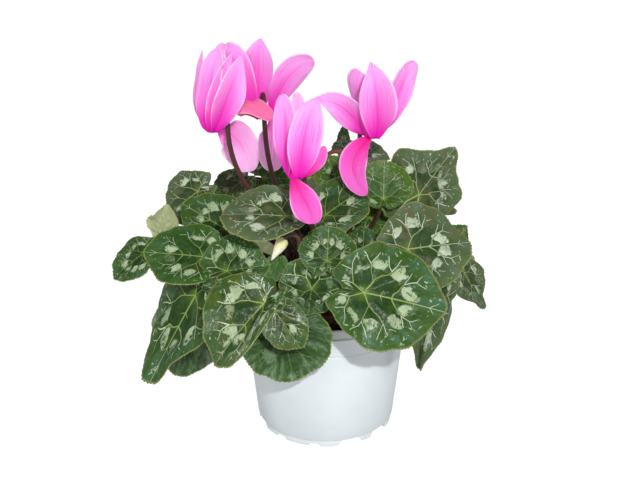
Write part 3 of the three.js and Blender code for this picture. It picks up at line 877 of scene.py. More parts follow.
@dataclass(frozen=True)
class EdgeFinish(Finish):
    """The thin tan edge of a leaf."""

    light: Colour = tint(164, 158, 98)
    dark: Colour = tint(160, 172, 120)

    def coat(self, board: Board) -> dict[str, Value]:
        """Varies the tan along the edge.

        Args:
            board: Where the nodes go.

        Returns:
            What the shader's inputs take.
        """
        speck = board.noise(board.body(), 260, 3)
        return {
            "Base Color": board.mix(board.step(speck, 0.4, 0.7), self.light, self.dark),
            "Roughness": 0.45 + speck * 0.2,
        }


@dataclass(frozen=True)
class StemFinish(Finish):
    """A stem or stalk with paler streaks, whose root colour turns to its top colour from turn_at on."""

    root: Colour
    top: Colour
    turn_at: float = 0.6
    streak: Colour = tint(150, 96, 70)
    relief: float = 0.0003

    def coat(self, board: Board) -> dict[str, Value]:
        """Lays streaks over the change of colour.

        Args:
            board: Where the nodes go.

        Returns:
            What the shader's inputs take.
        """
        mark = CROSS_GRAIN.place(board, Lines=14.0, Length=9.0)
        streaks = mark["Streaks"]
        along = board.split(board.ribs())[1]
        change = board.step(along + (streaks - 0.5) * 0.3, self.turn_at, 1.0)
        colour = board.mix(change, self.root, self.top)
        paler = board.mix(0.3, colour, self.streak)
        return {
            "Base Color": board.mix(board.step(streaks, 0.35, 0.75) * 0.5, colour, paler),
            "Roughness": 0.38 + streaks * 0.2,
            "Specular IOR Level": 0.4,
            "Normal": board.bump(streaks + mark["Grain"] * 0.4, self.relief, 0.6),
        }


@dataclass(frozen=True)
class PetalFinish(Finish):
    """A petal that fades from its deep foot to its pale tip and edges, and has a faint painted glow in
    its own colour.
    """

    foot: Colour
    middle: Colour
    tip: Colour
    edge: Colour
    vein: Colour
    # glow is the strength of a painted glow: the petal emits its own colour, which lifts its shaded parts
    # as if light shone through it.
    glow: float = 0.06
    relief: float = 0.0004

    def coat(self, board: Board) -> dict[str, Value]:
        """Fades the foot into the tip and draws the streaks.

        Args:
            board: Where the nodes go.

        Returns:
            What the shader's inputs take.
        """
        mark = CROSS_GRAIN.place(board, Lines=34.0, Length=2.2)
        streaks = mark["Streaks"]
        across, along, _ = board.split(board.ribs())
        aside = board.math("ABSOLUTE", across * 2 - 1)
        drift = (streaks - 0.5) * 0.4
        blush = board.step(aside + drift, 0.5, 0.05) * board.step(along, 0.95, 0.3)
        line = board.step(aside + drift * 0.06, 0.09, 0.02) * board.step(along, 0.95, 0.6)
        relief = streaks + mark["Grain"] * 0.15 - line * 0.5
        colour = board.layers(
            self.middle,
            (board.step(along + aside * 0.25 + drift * 0.6, 0.25, 1.05), self.tip),
            (blush * 0.3, self.vein),
            (line * 0.4, self.vein),
            (board.step(streaks, 0.48, 0.66) * 0.5, self.vein),
            (board.step(streaks, 0.46, 0.28) * 0.35, self.tip),
            (board.step(aside + drift * 0.5, 0.84, 1.04) * 0.55, self.edge),
            (board.step(along + drift * 0.3, 0.5, 0.08), self.foot),
        )
        return {
            "Base Color": colour,
            # Painted glow: a faint emission in the petal's own colour, lit or not.
            "Emission Color": colour,
            "Emission Strength": self.glow,
            "Roughness": 0.5 + mark["Grain"] * 0.2,
            "Specular IOR Level": 0.25,
            "Subsurface Weight": 0.8,
            "Subsurface Radius": (1.0, 0.6, 0.9),
            "Subsurface Scale": 0.003,
            "Normal": board.bump(relief, self.relief, 0.5),
        }


class Hue(Enum):
    """The kinds of petal on the plant."""

    UPRIGHT = PetalFinish("upright petal", foot=tint(236, 16, 174), middle=tint(240, 56, 184),
                          tip=tint(246, 160, 226), edge=tint(250, 212, 242), vein=tint(222, 34, 160))
    HANGING = PetalFinish("hanging petal", foot=tint(222, 12, 130), middle=tint(240, 42, 160),
                          tip=tint(241, 104, 194), edge=tint(246, 200, 228), vein=tint(210, 22, 128))
    PALE = PetalFinish("pale petal", foot=tint(226, 80, 172), middle=tint(246, 130, 204),
                       tip=tint(250, 176, 226), edge=tint(252, 216, 240), vein=tint(232, 96, 180))
    CORAL = PetalFinish("coral petal", foot=tint(200, 36, 92), middle=tint(230, 80, 138),
                        tip=tint(238, 112, 160), edge=tint(252, 214, 226), vein=tint(204, 44, 104))
    CREAM = PetalFinish("cream bud", foot=tint(204, 206, 150), middle=tint(238, 236, 208),
                        tip=tint(242, 240, 218), edge=tint(244, 242, 222), vein=tint(214, 212, 166))


@dataclass(frozen=True)
class SpeckledFinish(Finish):
    """A matt stuff that is speckled all through, such as peat or cork."""

    light: Colour
    dark: Colour
    fleck: Colour
    scale: float
    flecks: float
    gloss: float
    relief: float

    def coat(self, board: Board) -> dict[str, Value]:
        """Lays flecks over two mixed tones.

        Args:
            board: Where the nodes go.

        Returns:
            What the shader's inputs take.
        """
        place = board.body()
        broad = board.noise(place, self.scale * 0.25, 4, 0.6)
        fine = board.noise(place, self.scale * 2, 4, 0.65)
        cell = board.cells(place, self.scale)
        colour = board.layers(self.dark, (board.step(broad * 0.6 + fine * 0.4, 0.38, 0.62), self.light),
                              (board.step(cell, 0.28, 0.12) * self.flecks, self.fleck))
        relief = broad * 0.5 + fine * 0.5 + board.step(cell, 0.5, 0.0) * 0.4
        return {
            "Base Color": colour,
            "Roughness": self.gloss + fine * 0.25,
            "Specular IOR Level": 0.3,
            "Normal": board.bump(relief, self.relief),
        }


@dataclass(frozen=True)
class PotFinish(Finish):
    """White moulded plastic with faint turning lines, scuffs and splashes near its foot."""

    white: Colour = tint(218, 226, 230)
    shade: Colour = tint(211, 218, 222)
    grime: Colour = tint(176, 174, 164)
    splash_height: float = 0.014
    relief: float = 0.00012

    def coat(self, board: Board) -> dict[str, Value]:
        """Lays faint clouds, lines and scuffs over the white.

        Args:
            board: Where the nodes go.

        Returns:
            What the shader's inputs take.
        """
        place = board.body()
        x, y, z = board.split(place)
        cloud = board.noise(place, 22, 4, 0.55)
        fine = board.noise(place, 1400, 2)
        line = board.noise(board.vector(x * 3, y * 3, z * 900), 1, 2)
        low = board.step(z, self.splash_height, 0.0)
        speck = board.step(board.noise(place, 420, 3), 0.64, 0.74)
        return {
            "Base Color": board.layers(self.shade, (board.step(cloud, 0.35, 0.65), self.white),
                                       ((low * 0.35 + 0.08) * speck, self.grime),
                                       (low * cloud * 0.3, self.grime)),
            "Roughness": 0.42 + cloud * 0.06 + speck * 0.15,
            "Specular IOR Level": 0.5,
            "Normal": board.bump(fine * 0.5 + line * 0.5, self.relief, 0.6),
        }


@dataclass(frozen=True)
class FloorFinish(Finish):
    """A floor that is pure white to the eye, and dimmer and faintly uneven as a light."""

    ground: Colour = (0.1, 0.1, 0.1, 1.0)
    white: Colour = (0.6, 0.6, 0.6, 1.0)
    cast: Colour = (0.5, 0.5, 0.5, 1.0)
    glow: float = 1.02

    def coat(self, board: Board) -> dict[str, Value]:
        """Tells the eye from the light.

        Args:
            board: Where the nodes go.

        Returns:
            What the shader's inputs take.
        """
        light = board.mix(board.noise(board.body(), 3, 2), self.cast, self.white)
        seen = board.read("LightPath", {}, "Is Camera Ray")
        return {
            "Base Color": self.ground,
            "Roughness": 1.0,
            "Specular IOR Level": 0.0,
            "Emission Color": board.mix(seen, light, PURE_WHITE),
            "Emission Strength": self.glow,
        }


UNDERSIDE = UndersideFinish("leaf underside")
CUT_EDGE = EdgeFinish("leaf edge")
STALK = StemFinish("leaf stalk", tint(62, 36, 30), tint(112, 112, 62), 0.8)
FLOWER_STEM = StemFinish("flower stem", tint(64, 30, 28), tint(64, 20, 30), 0.5)
BUD_STEM = StemFinish("bud stem", tint(84, 44, 34), tint(112, 62, 46), 0.5)
HOOK_STEM = StemFinish("hooked stem", tint(50, 36, 30), tint(66, 52, 44), 0.5)
PEAT = SpeckledFinish("peat", light=tint(58, 42, 30), dark=tint(30, 22, 17), fleck=tint(120, 96, 70),
                      scale=260, flecks=0.25, gloss=0.75, relief=0.0012)
CORK = SpeckledFinish("tuber skin", light=tint(104, 78, 54), dark=tint(64, 46, 34),
                      fleck=tint(44, 32, 24), scale=320, flecks=0.4, gloss=0.6, relief=0.0009)
PLASTIC = PotFinish("white plastic")
STUDIO_WHITE = FloorFinish("studio white")


# Stalk sockets


@dataclass(frozen=True)
class Grower:
    """Something that a stalk carries: where it ends, and the ring of sockets that it grows from."""

    name: str
    at: Place
    ring: int


@dataclass
class Crown:
    """The tuber and the rings of sockets that every stalk grows from.

    rings are their radii and gap the room between two stalks. floor and exit are the heights where stalks
    start and leave the tuber.
    """

    growers: list[Grower]
    rings: tuple[float, ...] = (8.5, 15.4, 22.3)
    gap: float = 5.3
    rounds: int = 300
    floor: float = 85.3
    exit: float = 93.0
    radius: float = 27.0
    top: float = 92.0
    base: float = 78.0
    sides: int = 72
    sockets: dict[str, np.ndarray] = field(default_factory=dict)

    def __post_init__(self) -> None:
        """Gives every stalk its socket, pushed along its ring until all have room."""
        for ring, radius in enumerate(self.rings):
            row = [[math.atan2(g.at[1], g.at[0]), g.name] for g in self.growers if g.ring == ring]
            row.sort(key=lambda one: one[0])
            gap = self.gap / radius
            for _ in range(self.rounds):
                for i, one in enumerate(row):
                    after = row[(i + 1) % len(row)]
                    ahead = after[0] + (2 * math.pi if i + 1 == len(row) else 0) - one[0]
                    if ahead < gap:
                        one[0] -= (gap - ahead) / 2
                        after[0] += (gap - ahead) / 2
            for angle, name in row:
                self.sockets[name] = radius * np.array([math.cos(angle), math.sin(angle), 0.0])

    def stalk(self, name: str, end: np.ndarray, arrival: np.ndarray, rise: float = 0.45,
              reach: float = 0.3, steps: int = 22) -> np.ndarray:
        """Draws a stalk's line up from its socket.

        Args:
            name: What it carries.
            end: Where it ends.
            arrival: The direction that it ends in.
            rise: How far it runs straight up first, as a share of its span.
            reach: How far it runs straight in at its end.
            steps: How many stretches it has.

        Returns:
            Its points in millimetres.
        """
        root = self.sockets[name] + UP * self.floor
        out = self.sockets[name] + UP * self.exit
        span = float(np.linalg.norm(out - end))
        corners = [out, out + UP * rise * span, end - arrival * reach * span, end]
        return np.vstack([root, bezier(corners, np.linspace(0, 1, steps + 1))])

    def dented(self, points: np.ndarray) -> np.ndarray:
        """Dents the tuber's skin a little.

        Args:
            points: The points of the smooth tuber.

        Returns:
            The moved points.
        """
        x, y, z = points.T
        knot = np.sin(0.5 * x + 1) * np.cos(0.43 * y) + 0.5 * np.sin(1.1 * x + 0.9 * y + z)
        lift = np.where(z > self.base + 3, knot, 0)
        shrink = 1 - 0.015 * (1 + lift) * (np.hypot(x, y) > 0)
        return np.stack([x * shrink, y * shrink, z + np.where(z > self.top - 3, 0.35 * lift, 0)], 1)

    def build(self) -> None:
        """Models the tuber and dresses it."""
        r, top, base = self.radius, self.top, self.base
        outline = [(0, base), (r - 13, base), (r - 7, base), (r - 2.5, base + 1.6), (r, base + 4),
                   (r, base + 4.5), (r, top - 7), (r - 0.4, top - 4.5), (r - 1.4, top - 2.2),
                   (r - 3.4, top - 0.8), (r - 7, top - 0.2)]
        outline += [(radius, top) for radius in (16, 12, 8, 4, 0)]
        install(lathed("corm", outline, self.sides, CORK, self.dented), "tuber")


# Leaves


@dataclass(frozen=True)
class Leaf:
    """One leaf: at is where its stalk meets the blade, and size the length from there to the tip.

    face is the bearing and height that the upper side looks to, and turn swings the tip round from
    straight downhill. ring is its ring of sockets and tone its kind. droop bends the blade along its
    midrib, fold across it and twist winds it up along it. width widens it, taper narrows it towards its
    tip, skew shifts its width to one side, round takes the heart shape out of it, point draws its tip
    out, and angular gives it corners, corner radians apart. rise and reach shape the stalk, wave sways
    the blade's edge, crease folds it along its midrib and lap lifts one lobe over the other. dome, pad,
    crimp and curl are the heights, on a leaf 1 long, of its rounding, of the pads between its ribs and
    of its two ripples.
    """

    name: str
    at: Place
    size: float
    face: tuple[float, float]
    turn: float
    ring: int
    tone: Tone = Tone.PATTERNED
    droop: float = 0.008
    fold: float = 0.006
    twist: float = 0.0
    width: float = 1.0
    taper: float = 0.0
    skew: float = 0.0
    round: float = 0.0
    angular: float = 0.0
    corner: float = 1.38
    point: float = 0.05
    rise: float = 0.45
    reach: float = 0.3
    wave: float = 0.035
    crease: float = 0.08
    lap: float = 1.1
    dome: float = 0.05
    pad: float = 0.034
    crimp: float = 0.02
    curl: float = 0.007

    def frame(self) -> tuple[np.ndarray, np.ndarray, np.ndarray]:
        """Gives the blade's own directions.

        Returns:
            The directions of the upper side, the tip and the side.
        """
        height, turn = math.radians(self.face[1]), math.radians(self.turn)
        way = bearing(self.face[0])
        normal = math.cos(height) * way + math.sin(height) * UP
        down = math.sin(height) * way - math.cos(height) * UP
        tip = down * math.cos(turn) + np.cross(normal, down) * math.sin(turn)
        return normal, tip, np.cross(normal, tip)

    def outline(self, angle: np.ndarray) -> np.ndarray:
        """Draws the blade's edge.

        Args:
            angle: The angle from the tip.

        Returns:
            How far the blade reaches there.
        """
        heart = 0.68 + (1 - self.round) * (0.26 * np.cos(angle) + 0.06 * np.cos(2 * angle))
        drip = self.point * np.exp(-((angle / (0.2 + 0.6 * (self.point - 0.05))) ** 2))
        opened = smooth(math.pi - np.abs(angle), SINUS * 0.6, SINUS + 0.36)
        hollow = self.angular * np.abs(np.sin(math.pi * angle / self.corner))
        return self.size * (heart + drip) * (1 - 0.4 * (1 - opened)) * (1 - hollow)

    def relief(self, plan: Shares, part: np.ndarray, angle: np.ndarray, seed: float) -> np.ndarray:
        """Sinks the ribs and pads the fields between them.

        Args:
            plan: The flat places on a leaf 1 long.
            part: The share of the way out.
            angle: The angle from the tip.
            seed: Sets leaves apart.

        Returns:
            The height in millimetres.
        """
        away = np.min([vein.distance(plan[0], np.abs(plan[1])) for vein in RIBS], axis=0)
        padding = self.pad * smooth(away, 0.0, 0.13) * np.clip(part * (1.05 - part) * 3.6, 0, 1)
        crimp = self.crimp * part ** 2 * np.sin(11 * angle + 2 * seed) * np.sin(3 * angle + seed)
        curl = self.curl * part ** 4 * np.sin(23 * angle + seed)
        sway = self.wave * part ** 2.5 * np.sin(4 * angle + 1.3 * seed)
        keel = self.crease * np.sqrt((np.sin(angle) * part) ** 2 + 0.004)
        return self.size * (padding + crimp + curl + sway + keel)

    def shape(self, angle: np.ndarray, part: np.ndarray, tooth: np.ndarray,
              seed: float) -> tuple[np.ndarray, Shares, Shares]:
        """Places points of the blade's middle.

        Args:
            angle: The angle from the tip.
            part: The share of the way out.
            tooth: How far a point stands out, as a share.
            seed: Sets leaves apart.

        Returns:
            The points in millimetres, their places between ribs and their flat places on a leaf 1 long.
        """
        reach = part * self.outline(angle) * (1 + tooth)
        between = np.sign(angle) * np.interp(np.abs(angle), RIB_ANGLES, range(len(RIB_ANGLES)))
        flat = part * (0.68 + 0.31 * np.cos(angle) + 0.06 * np.cos(2 * angle))
        plan = (flat * np.cos(angle), flat * np.sin(angle))
        along = reach * np.cos(angle)
        lean = (1 + self.skew * np.sin(angle)) * (1 - self.taper * np.clip(along / self.size, 0, 1) ** 2)
        across = self.width * lean * reach * np.sin(angle)
        off = self.dome * (1 + 0.7 * np.sin(5 * angle + self.at[0])) * reach * reach / self.size
        off = off + self.relief(plan, part, angle, seed)
        off = off + self.lap * np.sign(angle) * smooth(np.abs(angle), 2.5, 3.1) * smooth(part, 0.05, 0.4)
        across, off = self.bent(across, off, self.fold)
        along, off = self.bent(along, off, self.droop)
        wind = self.twist * along / self.size
        cos, sin = np.cos(wind), np.sin(wind)
        across, off = across * cos - off * sin, across * sin + off * cos
        normal, tip, side = self.frame()
        points = np.array(self.at, float) + np.outer(along, tip) + np.outer(across, side)
        return points + np.outer(off, normal), (between, part), plan

    @staticmethod
    def bent(run: np.ndarray, off: np.ndarray, curve: float) -> Shares:
        """Bends a blade down on both sides of a line.

        Args:
            run: How far its points are from the line.
            off: How high they lie.
            curve: One over the radius of the bend.

        Returns:
            Both after the bend.
        """
        radius = 1 / curve + off
        return radius * np.sin(curve * run), radius * np.cos(curve * run) - 1 / curve


@dataclass
class Foliage:
    """All leaves with their stalks."""

    crown: Crown
    leaves: list[Leaf]
    thickness: float = 0.7
    columns_per_mm: float = 5.0
    rows: int = 20
    tooth: float = 0.32
    overlap: float = 0.02
    stalk_root: float = 1.9
    stalk_top: float = 1.25
    stalk_sides: int = 12
    stalk_gap: float = 0.9

    def blade(self, leaf: Leaf, seed: float) -> bpy.types.Object:
        """Models one blade.

        Args:
            leaf: Its sizes.
            seed: Sets leaves apart.

        Returns:
            The mesh object with three materials.
        """
        columns = 2 * round(self.columns_per_mm * leaf.size / 2)
        piece, u, v = sheet(leaf.name + "_blade", columns, self.rows)
        angle = (math.pi + self.overlap) * (1 - 2 * u)
        part = 1 - (1 - v) ** 1.25
        column = np.rint(u * columns).astype(int)
        depth = self.tooth * (1 + 0.5 * np.sin(1.7 * column)) / leaf.size
        edge = v > 0.999
        tooth = np.where(edge, np.where(column % 2 == 0, depth, -depth), 0)
        scallop = 0.014 * np.sin(9 * angle + seed) + 0.008 * np.sin(17 * angle + 3 * seed)
        points, ribs, plan = leaf.shape(angle, part, tooth + part ** 2 * scallop, seed)
        lay(piece, points, ribs, plan, seed, False, leaf.tone.value, UNDERSIDE, CUT_EDGE)
        finish_with(piece, "SOLIDIFY", thickness=self.thickness * MM, offset=0.0, material_offset=1,
                    material_offset_rim=2)
        return piece

    def stalk(self, leaf: Leaf, seed: float) -> bpy.types.Object:
        """Models one stalk that ends just under its blade.

        Args:
            leaf: The leaf that it carries.
            seed: Sets stalks apart.

        Returns:
            The mesh object.
        """
        arrival = unit(leaf.frame()[0] * 0.6 + UP * 0.5)
        end = np.array(leaf.at, float) - arrival * self.stalk_gap
        line = self.crown.stalk(leaf.name, end, arrival, leaf.rise, leaf.reach)
        radii = np.linspace(self.stalk_root, self.stalk_top, len(line))
        return tube(leaf.name + "_stalk", line, radii, self.stalk_sides, seed, STALK)

    def build(self) -> None:
        """Models and dresses every leaf."""
        for number, leaf in enumerate(self.leaves):
            seed = 1.7 * number + 0.4
            piece = joined(leaf.name + "_leaf", self.blade(leaf, seed), self.stalk(leaf, seed))
            install(piece, "leaf_" + leaf.name)


# Blooms and buds


@dataclass(frozen=True)
class Petal:
    """One petal: it grows at the bearing grows, bends at mid and ends at tip, both from the mouth.

    turn is how far its face swings round its own length, peak where it is widest along its length, point
    how sharp its tip is and crease how deep it is folded along its midline. cup, wave, ruffle and curl
    are how far its edges fall back, sway, crinkle and roll up, as shares of half its width.
    """

    grows: float
    mid: Place
    tip: Place
    width: float
    turn: float
    hue: Hue
    peak: float = 0.6
    point: float = 0.5
    crease: float = 0.4
    cup: float = 0.22
    wave: float = 0.15
    ruffle: float = 0.05
    curl: float = 0.5


@dataclass(frozen=True)
class Bloom:
    """One nodding flower: at is the middle of its mouth and hook the bearing that its stem comes from."""

    name: str
    at: Place
    hook: float
    ring: int
    petals: tuple[Petal, ...]
    rise: float = 0.4
    reach: float = 0.35


@dataclass(frozen=True)
class Bud:
    """One bud: at is the top of its arched stem, and hook the bearing that the stem arches towards.

    bend is the radius of the arch and lean how far the bud points out from straight down.
    """

    name: str
    at: Place
    hook: float
    bend: float
    ring: int
    lean: float
    finish: StemFinish = BUD_STEM


@dataclass
class Flowers:
    """All blooms and buds with their stems."""

    crown: Crown
    blooms: list[Bloom]
    buds: list[Bud]
    thickness: float = 0.55
    columns: int = 20
    rows: int = 34
    foot: float = 0.24
    tube_radius: float = 5.2
    tube_height: float = 8.0
    tube_lobes: float = 0.1
    tube_share: float = 0.2
    clear: float = 0.3
    calyx_radius: float = 3.2
    calyx_height: float = 2.6
    calyx_lobes: float = 0.24
    calyx_lobe_height: float = 1.6
    lathe_sides: int = 40
    stem_root: float = 2.0
    stem_top: float = 1.4
    stem_sides: int = 14
    hook_radius: float = 4.8
    hook_drop: float = 8.0
    bud_length: float = 17.0
    bud_radius: float = 3.4
    bud_sides: int = 30
    bud_folds: float = 0.09

    def petal(self, bloom: Bloom, petal: Petal, seed: float) -> bpy.types.Object:
        """Models one petal.

        Args:
            bloom: The flower that it belongs to.
            petal: Its sizes.
            seed: Sets petals apart.

        Returns:
            The mesh object.
        """
        outward = bearing(petal.grows)
        start = outward * (self.tube_radius - 1.2) + UP * 0.8
        flare = start + outward * 4 + UP * (2 if petal.mid[2] > 0 else -2)
        spine = [start, flare, np.array(petal.mid, float), np.array(petal.tip, float)]
        piece, u, v = sheet(f"{bloom.name}_petal", self.columns, self.rows)
        share = 1 - (1 - v) ** 1.35
        along = bezier_slope(spine, share)
        swing = (math.radians(petal.turn) * np.minimum(share / 0.4, 1))[:, None]
        face = (outward * np.cos(swing) + np.cross(along, outward) * np.sin(swing)
                + along * (along @ outward)[:, None] * (1 - np.cos(swing)))
        face = unit(face - along * np.sum(face * along, 1)[:, None])
        swell = self.foot + (1 - self.foot) * smooth(share, 0, petal.peak)
        rest = 1 - (np.maximum(share - petal.peak, 0) / (1 - petal.peak)) ** 1.9
        half = petal.width / 2 * swell * np.maximum(rest, 0.0006) ** petal.point
        aside = 2 * u - 1
        keel = petal.crease * (np.sqrt(aside ** 2 + 0.004) - 0.06) * (1 - 0.6 * smooth(share, 0.6, 1))
        wave = petal.wave * np.sin(8 * share + seed + aside) * np.abs(aside) ** 3
        ruffle = petal.ruffle * np.sin(19 * share + 2 * seed + 3 * aside) * aside ** 4
        rolled = np.clip(aside * np.sign(np.sin(9 * seed)) - 0.2, 0, 1) ** 1.5
        curl = petal.curl * smooth(share, 0.15, 0.6) * rolled
        lift = half * (keel - petal.cup * aside ** 2 + wave + ruffle + curl)
        points = (np.array(bloom.at, float) + bezier(spine, share)
                  + np.cross(along, face) * (half * aside)[:, None] + face * lift[:, None])
        lay(piece, points, (u, share), (aside, share), seed, False, petal.hue.value)
        finish_with(piece, "SOLIDIFY", thickness=self.thickness * MM, offset=0.0)
        return piece

    def corolla(self, bloom: Bloom) -> bpy.types.Object:
        """Models the flower's short tube with its open mouth and its style.

        Args:
            bloom: The flower.

        Returns:
            The mesh object.
        """
        r, h = self.tube_radius, self.tube_height
        outline = [(0, 0.5), (0.45, 0.7), (0.5, 3.2), (2.9, 3.6), (3.4, 1.6), (3.9, 0.3), (4.6, 0),
                   (r, 0.8), (r, 2), (r - 0.2, 4), (r - 0.6, h - 2), (r - 1.3, h - 0.8), (r - 2.2, h),
                   (0, h)]

        def ripple(points: np.ndarray) -> np.ndarray:
            """Gives the tube its lobes, but not the style in its middle."""
            wall = np.hypot(points[:, 0], points[:, 1]) > 2
            return lobed(points, self.tube_lobes, wall, np.array(bloom.at, float))

        return lathed(f"{bloom.name}_tube", outline, self.lathe_sides, Hue.UPRIGHT.value, ripple,
                      self.tube_share)

    def stem(self, bloom: Bloom, seed: float) -> bpy.types.Object:
        """Models a flower's stem, hooked over at its top, with its calyx.

        Args:
            bloom: The flower that it carries.
            seed: Sets stems apart.

        Returns:
            The mesh object.
        """
        outward = bearing(bloom.hook)
        at = np.array(bloom.at, float)
        seat = self.tube_height + self.clear + self.calyx_height
        centre = at + outward * self.hook_radius + UP * (seat + 1)
        entry = centre + outward * self.hook_radius - UP * self.hook_drop
        line = self.crown.stalk(bloom.name, entry, UP, bloom.rise, bloom.reach, 30)
        turn = np.linspace(0, math.pi, 15)[:, None]
        arc = centre + self.hook_radius * (outward * np.cos(turn) + UP * np.sin(turn))
        line = np.vstack([line, arc, at + UP * (seat - 1)])
        radii = np.linspace(self.stem_root, self.stem_top, len(line))
        stem = tube(f"{bloom.name}_rod", line, radii, self.stem_sides, seed, FLOWER_STEM)
        r, h = self.calyx_radius, self.calyx_height
        outline = [(0, 0), (r * 0.7, 0), (r, 0.25), (r, 0.8), (r * 0.85, 1.5), (self.stem_top + 0.4, h),
                   (0, h)]

        def ripple(points: np.ndarray) -> np.ndarray:
            """Parts the calyx into five sepals."""
            low = points[:, 2] < self.calyx_lobe_height
            return lobed(points, -self.calyx_lobes, low, at + UP * (self.tube_height + self.clear))

        calyx = lathed(f"{bloom.name}_calyx", outline, self.lathe_sides, STALK, ripple)
        return joined(f"{bloom.name}_flower_stem", stem, calyx)

    def bud(self, bud: Bud, seed: float) -> tuple[bpy.types.Object, bpy.types.Object]:
        """Models a furled bud and its arched stem.

        Args:
            bud: Its sizes.
            seed: Sets buds apart.

        Returns:
            The bud and the stem.
        """
        outward = bearing(bud.hook)
        centre = np.array(bud.at, float) - UP * bud.bend
        line = self.crown.stalk(bud.name, centre - outward * bud.bend, UP, 0.4, 0.3, 24)
        sweep = math.pi - math.radians(bud.lean)
        turn = np.linspace(0, sweep, 14)[1:, None]
        line = np.vstack([line, centre + bud.bend * (UP * np.sin(turn) - outward * np.cos(turn))])
        way = outward * math.sin(sweep) + UP * math.cos(sweep)
        radii = np.linspace(self.stem_root, self.stem_top, len(line))
        stem = tube(f"{bud.name}_bud_stem", line, radii, self.stem_sides, seed, bud.finish)
        share = np.linspace(0, 1, 26)
        girth = np.interp(share, [0, 0.08, 0.28, 0.5, 0.8, 1], [0.6, 0.95, 1.08, 0.8, 0.4, 0.1])
        core = line[-1] + np.outer(self.clear + share * self.bud_length, way)

        def furled(points: np.ndarray) -> np.ndarray:
            """Winds five low folds round the bud.

            Args:
                points: The points of the smooth bud.

            Returns:
                The moved points.
            """
            run = (points - line[-1]) @ way
            spoke = points - line[-1] - np.outer(run, way)
            side = unit(np.cross(way, UP + outward * 0.3))
            spin = np.arctan2(spoke @ np.cross(way, side), spoke @ side)
            furl = 1 + self.bud_folds * np.abs(np.sin(2.5 * spin + run * 0.28)) * smooth(run, 0.5, 3)
            return line[-1] + np.outer(run, way) + spoke * furl[:, None]

        head = tube(f"{bud.name}_furled_bud", core, girth * self.bud_radius, self.bud_sides, seed,
                    Hue.CREAM.value, furled)
        return head, stem

    def build(self) -> None:
        """Models and dresses every bloom and bud."""
        for number, bloom in enumerate(self.blooms):
            petals = [self.petal(bloom, petal, 2.1 * number + 0.9 * place)
                      for place, petal in enumerate(bloom.petals)]
            flower = joined(f"{bloom.name}_corolla", self.corolla(bloom), *petals)
            install(flower, "petals_" + bloom.name)
            install(self.stem(bloom, 3.3 * number), "stem_" + bloom.name)
        for number, bud in enumerate(self.buds):
            head, stem = self.bud(bud, 5.2 * number)
            install(head, "bud_" + bud.name)
            install(stem, "stem_bud_" + bud.name)


# Young shoots


@dataclass(frozen=True)
class Shoot:
    """One young stalk with its leaf still furled.

    It rises from root towards the height top and droops to end.
    """

    root: Place
    top: float
    end: Place
    radius: float = 1.5


@dataclass
class YoungShoots:
    """The dark young stalks that arch over the tuber, in one piece."""

    shoots: list[Shoot]
    sides: int = 14

    def build(self) -> None:
        """Models and dresses every shoot."""
        share = np.linspace(0, 1, 30)
        girth = np.interp(share, [0, 0.7, 0.78, 0.9, 1], [1, 0.8, 1.25, 1.1, 0.2])
        parts = []
        for number, shoot in enumerate(self.shoots):
            root, end = np.array(shoot.root, float), np.array(shoot.end, float)
            above = [np.array([*place[:2], shoot.top]) for place in (root, end)]
            line = bezier([root, *above, end], share)
            parts.append(tube(f"shoot_{number}", line, girth * shoot.radius, self.sides, 4.1 * number,
                              HOOK_STEM))
        install(joined("young_shoots", *parts), None)


# Pot and soil


